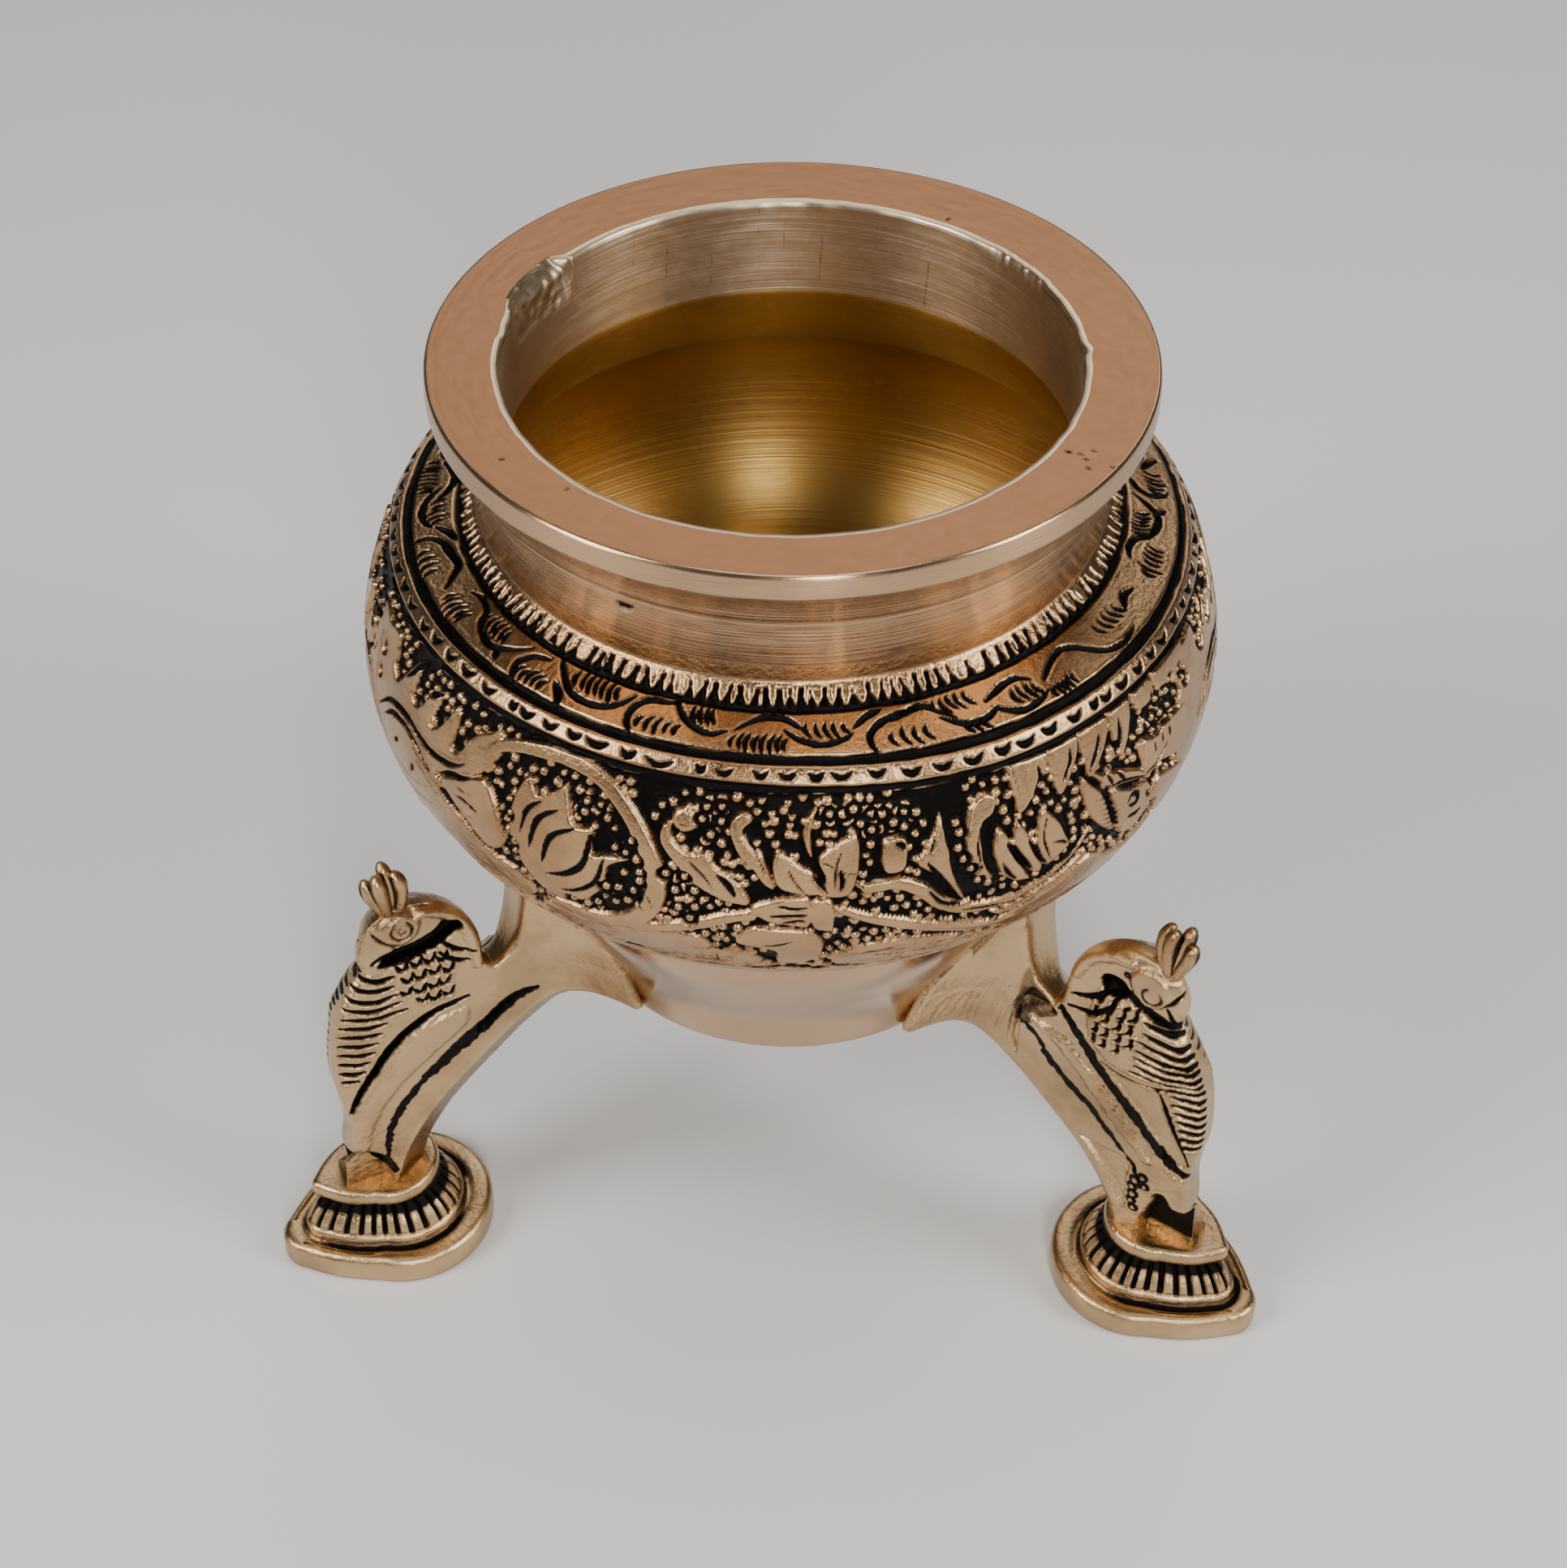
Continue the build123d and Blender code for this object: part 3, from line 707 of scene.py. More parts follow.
RAISED_BANDS = paths("""
0.7/0.95/1/1.15/1.15/1.1: -127,20 -126.5,17.6 -123.5,16 -119,15 -115,14.7 -110.8,15.2 -107.2,17.1
    -104.2,20 -102.2,23.4 -101.8,26.8 -103,30 -106,32.4 -110.4,33.9 -116,34
0.8/0.85/0.8: -90.1,28.2 -93,28.9 -96,30.2 -100,31.6 -105,33.2
0.55/0.85/0.8/0.7: -79.4,27.3 -76,28.9 -73,30 -70,31.2 -65,33.2 -60,35.2 -55,36
0.75/0.9/0.8/0.75/0.6/0.35: -76,24.9 -72.4,24.8 -69.3,26.2 -66.5,28.8 -62.5,30.7 -57,31.3 -52,30.3
    -48,28.4 -45.4,26.3
0.2/0.45/0.5/0.45/0.3: -66.5,31.4 -62,32.9 -57,33.3 -52.5,32.5 -48,30.9 -45.5,29.4
""")
CUTS = paths("""
0.26: -117.5,20 -119.7,21.9 -120.5,25
0.36: -114.9,20.2 -117.9,22.3 -119.1,26.2
0.34: -112.6,21.7 -115.9,23.8 -117.2,27.6
0.38: -110.5,21.9 -111.2,25.4 -113.5,27.6 -116.7,28.9
0.28: -108.5,24.2 -109.7,27.5 -112.6,29.8 -114.9,30.5
0.36: -94.1,23.2 -92.8,24.2 -91.8,25.7
0.12: -97.6,22 -95.6,23.6 -94.6,24.9
0.1: -85.6,22 -84.6,23.7 -83.3,25.1
0.22: -82.6,22.9 -81.7,23.9 -80.9,24.9
0.1: -79.1,20.2 -79.8,22.2 -79.8,24.9
0.26: -79.3,22.3 -79,23.6 -79.3,24.8
0.08: -81.4,21.3 -80.4,21.8 -79.8,22
0.08: -79.2,22.4 -78.2,22.8 -77.2,22.8
0.1: -90.6,19.2 -89.4,20.5 -88.2,22.8
0.2: -86.6,26.6 -85,26.9 -83.3,26.8
0.22: -87.6,28 -85.4,27.9 -83.3,27.8
0.2: -86.4,29 -84.8,28.7 -83.3,28.6
0.12: -88.6,32.9 -86.8,32.7 -84.6,31.8
0.4: -72.4,20 -71.6,20.4 -71.3,20.8
0.36: -68.5,22.8 -66.8,25.2 -64.3,28.4
0.16: -67.3,20.2 -68.1,22
0.22: -68.4,26.3 -66.6,28.4 -64,29.5
0.2: -63.6,30.4 -60,31.2 -57.2,32
0.14: -61.4,20.4 -61.9,22.6 -61.4,25.2
0.4: -57.9,23.2 -56.2,25.4 -54.2,27.9
0.24: -58.6,25.4 -57.6,27.2 -56.6,28.2
0.3: -54.9,23.6 -53.6,26 -52.1,28
0.14: -51.3,25.4 -49.8,25.9 -48.8,26.6
0.14: -52.1,22.2 -52.6,24.4 -51.6,27.4
0.3: -52.3,16.2 -52.2,17.6 -53.5,18.9
0.28: -47,15.9 -47.4,17.4 -48.9,19
0.28: -41.9,16.2 -42.7,17.7 -44.4,19.5
0.3: -37.9,16.1 -38.3,17.9 -39.4,20.2
0.34: -34.2,16.3 -35,17.7 -36.8,19.2
0.34: -30.4,16.4 -31,18 -32.9,19.3
0.42: -41.6,22.6 -41.2,25.6 -39.8,28.9
0.22: -42.2,22.8 -38.6,23.4 -34.6,24.9
0.24: -43.9,20.9 -43,22 -42.4,23.2
0.2: -41.6,21.3 -41,22.2 -40.7,23
0.2: -39.6,21.8 -38.9,22.7 -38.4,23.4
0.34: -38.2,26.4 -37,25.8 -36,26.6 -36.6,27.4 -38,26.9
0.3: -38,28.6 -36.4,29 -35,29
0.34: -45,25.6 -43.4,27.5 -41.6,28.8
0.16: -32.6,21.2 -28.6,21.1 -25,21.3
0.16: -34.4,24.8 -31.4,24.6 -28.8,23.6
0.13: -31.6,22 -31.8,23.4
0.13: -29.8,22 -29.9,23.3
0.13: -28,22 -28,23.2
0.42: -153.5,26.1 -150,23.5 -147,22.5 -144,22.3 -141,22.8 -138,23.1 -134.5,22.8 -132,22 -130.8,21.2
0.36: -151.5,26.2 -148.2,24.2 -145,23.6 -142,24 -139,24.9
0.34: -135.6,24.8 -133,23.6 -131,23.1 -129.2,22.3
0.34: -146.5,18.4 -144.9,17 -143.7,15.3 -142.5,14.4
0.26: -140.6,17.6 -139,16.9 -137.3,16
0.1: -133,24.6 -130.6,24.5 -128.6,24.2
0.18: -132.2,25.6 -129.8,25.6 -127.4,26
0.1: -131,27 -129,27.2 -127.6,27.8
0.34: -148,27.8 -146.4,26.6
0.34: -143.2,29 -142.2,27.6
0.3: -130,32.9 -128.8,33.8
0.1: -142,25 -138,26 -134.4,27.9
0.1: -141,26.2 -138.4,27 -136,28.2
0.08: -102.2,29 -102.6,27.8 -103.2,27.2
0.07: -104.4,28.8 -103.2,29.8
""")
EDGE_CUTS = paths("""
0.34: -139.6,24.9 -137,26 -135,26.9 -132,28 -129.6,29 -127,30.2 -124,31 -121.6,31 -120.3,32.3
0.34: -58.8,30.5 -55,30.2 -51,29.2 -48,27.9 -46,26.4
0.3: -64.5,32 -60,33 -56.5,33.9
""")
DOTS = trail("""
-109.7,18.3 -111.6,18.4 -111.8,19.7 -107.5,20.4 -105.8,22.8 -107.3,22.6 -103.9,24.8 -106,25.4
-103.9,26 -106.7,27.6 -104.7,27.5 -108.5,29.5 -107.2,29.9 -109.8,31 -113.4,31.9 -108.6,19.6
-105.2,21.4 -104.4,23.4 -108.4,28 -105.6,29.2 -111.4,31.9 -99.4,26.2 -96.9,25.8 -99,28.5 -96.9,28.1
-98.2,24.2 -100.6,24.2 -97.6,29.9 -95,27.7 -121.8,28.4 -121.9,27.1 -122.6,23.6 -64.3,22.2
-63.7,23.7 -62.7,25.1 -61.8,26.9 -60.3,27.8 -64.4,19.3 -64,20.5 -30.9,19.4 -29.4,17.9 -27.8,18
-26.4,18.4 -25.4,17.6 -28.8,19.9 -26.8,20 -24.6,19.6 -22.4,17.9 -21.6,19.4 -33,27.4 -32,30.6
-80.4,16.3 -78.8,16.4 -77.4,16 -76.6,17.6 -75.2,16.6 -73.8,16.8 -72.4,17.9 -71,16.9 -74.2,18.4
-69.4,17.2 -95.9,16 -94,15.8 -96.4,17.4 -95.2,19 -93.9,17.4 -75.4,20 -75.6,22 -75.2,18.4
-101.6,16.6 -102.4,18
""")
BALLS = [(-98.5, 17.7, 1.5), (-60.4, 17.9, 1.15)]
BLADES = trail("-56.3,-50.8 -50.2,-45.6 -45,-40 -39.2,-35.2 -34.6,-29.8 -29.2,-21")


def draw_belly(relief):
    """The raised blades, leaves, bands and balls."""
    for fits in repeats(relief, BELLY_SCALE):
        for x0, x1 in BLADES:
            if fits(x1):
                tip = 19.9 if x1 < -34 else 16.6
                low = [(x1 - 0.4, 17.2), (x0 + 0.9, tip + 0.6), (x0 + 0.1, tip - 1.5)]
                relief.leaf([(x0, 14.6), (x1, 14.6)] + low, edge=0.45)
        for name, points in RAISED_LEAVES:
            if fits(points[0][0]):
                worn = name.startswith(("low", "wing"))
                top, dome, rough = (0.66, 0.05, 0.14) if worn else (0.78, 0.2, 0.07)
                relief.leaf(points, top=top, dome=dome, rough=rough)
        for widths, points in RAISED_BANDS:
            if fits(points[0][0]):
                widths = np.array(widths.split("/"), float)
                relief.band(points, widths, top=0.76, dome=0.12)
        for x, y, size in BALLS:
            if fits(x):
                relief.dot(x, y, size, 0.98, ring=False)


def scatter_dots(relief):
    """Punched dots over what is left of the sunk ground."""
    theta, lengths = relief.across, relief.down
    relief.scale, relief.turn = BELLY_SCALE, 0.0
    taken = relief.height.copy()
    crowd = cloud(taken.shape, (9, 60), 44, True)
    step = lengths[1] - lengths[0]
    row = 0
    level = 14.9
    while level < 38.2:
        place = -180.0 + (0.8 if row % 2 else 0.0)
        while place < 180.0:
            x, y = place + rng.normal(0, 0.28), level + rng.normal(0, 0.2)
            i = int((y - lengths[0]) / step)
            j = int((x + 180.0) / 360.0 * len(theta)) % len(theta)
            size = 0.42 + 0.20 * rng.random()
            clear = 0 <= i < len(lengths) and taken[i, j] < 0.2
            if clear and crowd[i, j] > -0.42 and rng.random() < 0.94:
                relief.dot(x, y, size, 0.42 + 0.3 * rng.random(), ring=False)
            place += 1.72
        level += 1.22
        row += 1


def cut_belly(relief):
    """The ring-punched dots and chisel lines over the raised shapes."""
    for fits in repeats(relief, BELLY_SCALE):
        for x, y in DOTS:
            if fits(x):
                relief.dot(x, y, 0.47 + 0.12 * rng.random(), 0.62)
        for half, points in CUTS:
            half = float(half)
            if fits(points[0][0]):
                depth, black = 0.5 if half > 0.15 else 0.22, 1.0 if half > 0.11 else 0.75
                relief.cut(points, half, depth, burr=0.09, black=black)
        for half, points in EDGE_CUTS:
            if fits(points[0][0]):
                relief.cut(points, float(half), 0.5, burr=0.22, rough=0.3)
        for k in range(9):
            x, y = -44.6 + 0.35 * k, 23.2 + 0.75 * k
            if fits(x):
                vein = [(x, y), (x + 1.8, y + 0.4), (x + 3.3, y + 0.2)]
                relief.cut(vein, 0.09, 0.15, black=0.6)


def draw_bottom(relief):
    """The worn ridges that run round under the belly."""
    s = np.repeat(relief.down[:, None], len(relief.across), 1)
    wave = 0.5 * cloud(s.shape, (6, 34), 51, True) + 0.25 * cloud(s.shape, (20, 110), 52, True)
    for middle, half in ((39.4, 0.42), (41.6, 0.22), (43.4, 0.16)):
        d = half - np.abs(s - middle - wave) + 0.15 * relief.ragged
        relief.height -= 0.35 * ease((d + 0.2) / 0.45)
        relief.height += 0.08 * np.exp(-(((d + 0.3) / 0.2) ** 2))
        relief.black = np.maximum(relief.black, ease((d + 0.04) / 0.2))


def draw_streaks(relief):
    """Thin scraped lines along the border under the motifs."""
    relief.scale, relief.turn = BELLY_SCALE * 0.9, 0.0
    for _ in range(150):
        x, y = rng.uniform(-180, 168), rng.uniform(34.6, 44.6)
        reach, fall = rng.uniform(3.5, 11), rng.normal(0, 0.5)
        thin = y < 38 or rng.random() < 0.5
        points = [(x, y), (x + reach / 2, y + fall / 2 + rng.normal(0, 0.2)), (x + reach, y + fall)]
        half, depth, black = (0.08, 0.2, 0.7) if thin else (0.16, 0.32, 1.0)
        relief.cut(points, half, depth, burr=0.12, rough=0.14, black=black)


def chased_relief():
    """Angles and lengths of the grid over the outside, and its offset and patina, in mm."""
    theta = -180.0 + 360.0 * np.arange(COLUMNS) / COLUMNS
    lengths = np.arange(0.0, 46.0 + ROW / 2, ROW)
    relief = Relief(theta, lengths, True, 5)
    angles, s = np.meshgrid(theta, lengths)
    start = 13.75 + 1.1 * drift(angles) + 0.15 * relief.ragged
    sunk = ease((s - start) / 0.4) * (1 - ease((s - 38.3 - 0.4 * relief.ragged) / 0.5))
    relief.height[:] = GROUND * (1 - sunk)
    for draw in (draw_belly, scatter_dots, cut_belly, draw_bands, draw_shoulder, draw_beads):
        draw(relief)
    draw_bottom(relief)
    draw_streaks(relief)
    ground = ease((0.36 - relief.height + 0.10 * relief.ragged) / 0.22)
    ground = ground * ease((s - 13.6) / 0.3) * (1 - ease((s - 40.0) / 1.0))
    black = np.maximum(relief.black, ground)
    pitted = 0.022 * cloud(s.shape, (110, 600), 62, True) * (0.2 + 0.8 * ease((s - 14) / 1.5))
    dents = 0.030 * cloud(s.shape, (34, 190), 61, True) + pitted
    worn = ease((s - 2.3) / 0.5) * (1 - ease((s - 45.0) / 1.0))
    offset = (np.clip(relief.height, -0.1, 1.05) - GROUND + dents) * worn
    return theta, lengths, np.minimum(offset, HIGHEST), black * worn


# ---------------------------------------------------------------- the bowl


# (angle, radius, size) of the pinholes in the rim's top
PINHOLES = [
    (-27.4, 32.1, 0.16), (-27.3, 33.4, 0.10), (-28.4, 34.4, 0.09), (-25.7, 34.4, 0.08),
    (-30.6, 35.3, 0.08), (-28.5, 37.2, 0.10), (-141.0, 34.3, 0.09), (-127.7, 32.0, 0.08),
    (61.6, 31.6, 0.12), (155.9, 31.1, 0.10),
]
# (angle, height, width, height across) of the pits in the neck
NECK_PITS = [
    (-113.7, 105.5, 0.75, 0.42), (-112.3, 105.75, 0.3, 0.2), (-82.0, 100.5, 0.25, 0.12),
    (-124.0, 105.8, 0.12, 0.1),
]
# (angle, start and end below the rim, half width) of the scratches down the bore
SCRATCHES = [
    (96.0, 2.2, 6.0, 0.08), (101.5, 0.8, 4.0, 0.06), (88.0, 4.0, 9.5, 0.09),
    (76.0, 1.5, 5.0, 0.05), (122.0, 3.0, 8.0, 0.08), (130.0, 1.2, 6.4, 0.06),
    (64.0, 5.0, 10.5, 0.10), (112.0, 6.0, 10.0, 0.06), (147.0, 0.2, 5.2, 0.10),
]


def marks_on_rim(theta, radius, height, black):
    """Cuts the pinholes into the rim's top rows."""
    for angle, r, size in PINHOLES:
        far = np.hypot((theta - angle) * math.radians(r), radius - r)
        pit = ease((size + 0.12 - far) / 0.16)
        height -= 0.28 * pit
        black[:] = np.maximum(black, 0.9 * pit)


def mouth_edge(theta):
    """How far the mouth's edge stands back from its circle, in mm, by angle."""
    chip = 1.05 * ease((theta - 146.6) / 4.0) * (1 - ease((theta - 163.0) / 9.5))
    crumbs = cloud((2, len(theta)), (1, 300), 72, True)[0]
    crumbled = 0.20 * ease((theta - 30.0) / 3.0) * (1 - ease((theta - 46.0) / 3.0))
    crumbled = crumbled * (0.6 + 0.4 * crumbs)
    nick = 0.35 * np.exp(-(((theta - 7.0) / 1.6) ** 2))
    burr = -0.22 * np.exp(-(((theta - 178.0) / 2.2) ** 2))
    wander = 0.07 * cloud((2, len(theta)), (1, 90), 71, True)[0]
    wander += 0.05 * np.sin(np.radians(3 * theta + 40))
    return chip + crumbled + nick + burr + wander, chip


def build_bowl():
    theta, lengths, offset, black = chased_relief()
    profile, length = outside_profile()
    turns = np.radians(theta)
    cosine, sine = np.cos(turns), np.sin(turns)

    bands = []

    def add(points, kind, push=None, dark=None, shift=0.0):
        points = np.atleast_2d(np.asarray(points, float))
        count = len(points)
        r = np.repeat(points[:, :1], COLUMNS, 1)
        z = np.repeat(points[:, 1:], COLUMNS, 1)
        if push is not None:
            r, z = r + push[0], z + push[1]
        shift = np.broadcast_to(np.asarray(shift, float).reshape(-1, 1), (count, 1))
        x, y = r * cosine + shift * MOUTH_SHIFT[0], r * sine + shift * MOUTH_SHIFT[1]
        bands.append((x, y, z, np.zeros((count, COLUMNS)) if dark is None else dark, kind))

    add(polyline(UNDERSIDE, 1.6), 1)
    # the seat's edge up to where the chasing starts
    below = np.arange(length[-1], lengths[-1] + 0.3, -0.6)
    add(np.column_stack([np.interp(below, length, values) for values in profile.T]), 1)
    fine, smooth = soften(profile, length, 0.7)
    line = np.column_stack([np.interp(lengths, fine, values) for values in smooth.T])
    slope = [np.interp(lengths, fine, np.gradient(values, fine)) for values in smooth.T]
    slope = np.column_stack(slope)
    slope /= np.hypot(*slope.T)[:, None]
    push = (-slope[:, 1:2] * offset, slope[:, 0:1] * offset)
    add(line[::-1], 0, (push[0][::-1], push[1][::-1]), black[::-1])

    neck = rounded(NECK_TOP, step=0.34)[1:]
    angles, level = np.meshgrid(theta, neck[:, 1])
    groove = np.exp(-(((level - 107.05) / 0.16) ** 2))
    waves = 0.035 * cloud(level.shape, (12, 60), 73, True) - 0.10 * groove
    stain = 0.30 * groove
    for angle, height, wide, tall in NECK_PITS:
        far = np.hypot((angles - angle) * math.radians(34.5) / wide, (level - height) / tall)
        waves -= 0.35 * ease((1.25 - far) / 0.5)
        stain = np.maximum(stain, ease((1.1 - far) / 0.35))
    add(neck, 2, (waves, 0 * waves), stain)
    side = polyline([(38.0, 112.9), (37.92, 114.9)], 0.34)
    add(side, 2, (0.03 * cloud((len(side), COLUMNS), (4, 40), 74, True), 0.0))
    add([(37.86, 115.08), (37.74, 115.22), (37.55, TOP)], 2)

    back, chip = mouth_edge(theta)
    # the flat top, with the edge of the mouth pushed back where it is chipped
    top_r = np.arange(37.3, 30.55, -0.25)
    radius = np.repeat(top_r[:, None], COLUMNS, 1)
    reach = np.clip((36.0 - radius) / 5.4, 0, 1)
    push_r = reach * back
    height = -0.02 - 0.03 * np.abs(cloud(radius.shape, (8, 70), 75, True))
    dark = np.zeros(radius.shape)
    angles = np.repeat(theta[None, :], len(top_r), 0)
    marks_on_rim(angles, radius + push_r, height, dark)
    top = np.column_stack([top_r, np.full(len(top_r), TOP)])
    add(top, 3, (push_r, height), dark, reach[:, 0])

    lip = np.array([(30.32, 115.27), (30.14, 115.16), (30.03, 114.98), (30.0, 114.6)])
    bore = np.column_stack([np.full(28, BORE_RADIUS), np.linspace(114.25, 103.9, 28)])
    bore = np.vstack([lip, bore])
    fall = (TOP - bore[:, 1])[:, None]
    rough = cloud((len(bore), COLUMNS), (16, 220), 76, True)
    deep = 0.35 + 0.65 * (1 - ease((fall - 0.5) / 4.2))
    nibble = chip[None, :] * deep * ease((5.4 - fall) / 1.2)
    push_r = back[None, :] * (1 - ease(fall / 1.6)) + nibble * 0.55
    push_r = push_r + 0.12 * rough * (nibble > 0.15) + 0.035 * cloud(rough.shape, (9, 46), 77, True)
    stain = 0.30 * ease(nibble / 0.5) * (0.5 + 0.5 * rough)
    # the worn edge is bright at the back only
    stain = np.maximum(stain, 0.31 * ease((1.0 - fall) / 0.4) * (1 - ease((sine - 0.45) / 0.3)))
    for angle, start, end, wide in SCRATCHES:
        d = np.abs(theta[None, :] - angle - 0.10 * (fall - start)) * math.radians(BORE_RADIUS)
        span = ease((fall - start) / 0.3) * (1 - ease((fall - end) / 0.6))
        stain = np.maximum(stain, 0.75 * ease((wide - d) / 0.12) * span)
    add(bore, 4, (push_r, 0.0), stain, 1.0)

    wall = clamped_curve(WALL[::-1][:-1], (0.25, -1), (-1, -0.1), 0.9)
    drop = np.clip((103.5 - wall[:, 1]) / 10.0, 0, 1)
    # painted shade: the inside wall turns brown towards its top, standing in for the darker
    # reflection there
    brown = 0.26 * ease((wall[:, 1] - 84.0) / 12.0)
    add(wall, 5, dark=np.repeat(brown[:, None], COLUMNS, 1), shift=1 - ease(drop))
    floor_r = np.arange(30.6, 1.0, -0.7)
    floor = np.column_stack([floor_r, np.interp(floor_r, [0, 31.5], [60.5, 63.2])])
    ripples = cloud((len(floor), COLUMNS), (20, 60), 78, True)
    ripples = ripples * ease((floor_r - 6.0) / 14.0)[:, None]
    add(floor, 5, (0.0, 0.04 * ripples))

    x, y, z, dark = (np.concatenate([band[i] for band in bands]) for i in range(4))
    rows = len(x)
    kinds = np.concatenate([np.full(len(band[0]), band[4]) for band in bands])[1:]
    points = np.stack([x, y, z], -1).reshape(-1, 3)
    first, last = len(points), len(points) + 1
    points = np.vstack([points, (0, 0, 57.6), (0, 0, 60.5)])
    faces = [ring_faces(rows, COLUMNS), fan_faces(first, 0, COLUMNS, True)]
    faces.append(fan_faces(last, (rows - 1) * COLUMNS, COLUMNS, False))
    kinds = np.concatenate([np.repeat(kinds, COLUMNS), np.full(COLUMNS, 1), np.full(COLUMNS, 5)])
    patina_and_painted_shade = np.r_[dark.reshape(-1), 0, 0]
    materials = [CHASED, SEAT, TURNED, RIM_TOP, BORE, INSIDE]
    return make_mesh("bowl_shell", points, faces, patina_and_painted_shade, materials, kinds)



# ---------------------------------------------------------------- the legs
# Each casting is drawn flat in (distance from the axis, height), then given its thickness.

SHANK_HALF = 4.25
# how far the straight sides of a foot swell out
BULGE = 0.55
COLLAR_LINE = trail("26.3,36.7 27.4,42 29.9,47.5 32.6,53.5 34,60")
INNER_EDGE = trail(
    "25,33.1 28.4,33.2 31.5,32.4 35.6,29.8 39.5,26.5 43.2,23.2 46.2,20 49,15.6 50.4,11.4"
)
TAIL_EDGE = trail(
    "60.4,11.4 60.1,16 59.9,20 59.3,24 59.5,28 60.1,33 59.7,38 58.6,43 56.6,46.8 54.9,49"
)
HEAD_EDGE = trail(
    "54.9,49 55.3,51 54.9,53.2 53.8,55.2 52,56.6 49.6,57.2 47,56.9 44.3,55.4 42.3,53"
)
HEAD_EDGE += trail("41.1,50.2 40.7,47.6 40.6,45.6 40.3,44.5")
WEB_EDGE = trail("39.7,44 37.6,45.5 36.2,48.2 35.4,53 34.9,57.8")


def sampled(values, grid_x, grid_y, x, y):
    """A grid's values at scattered places."""
    u = np.clip((x - grid_x[0]) / (grid_x[1] - grid_x[0]), 0, len(grid_x) - 1.001)
    v = np.clip((y - grid_y[0]) / (grid_y[1] - grid_y[0]), 0, len(grid_y) - 1.001)
    i, j = v.astype(int), u.astype(int)
    fu, fv = u - j, v - i
    low = values[i, j] * (1 - fu) + values[i, j + 1] * fu
    top = values[i + 1, j] * (1 - fu) + values[i + 1, j + 1] * fu
    return low * (1 - fv) + top * fv


def leg_outline(step):
    """The casting's outline, from under the collar round by the ankle, tail, head and web."""
    inside_line = [(r - 2.2, z) for r, z in COLLAR_LINE[::-1]]
    runs = [
        rounded(INNER_EDGE, step=step)[:-1],
        polyline([INNER_EDGE[-1], TAIL_EDGE[0]], step)[:-1],
        rounded(TAIL_EDGE, step=step)[:-1],
        rounded(HEAD_EDGE, step=step)[:-1],
        rounded(WEB_EDGE, step=step)[:-1],
        polyline(
            [WEB_EDGE[-1], (32.2, 57.8)] + inside_line[1:] + [(24.0, 34.6), INNER_EDGE[0]], step * 2
        )[:-1],
    ]
    return np.vstack(runs)


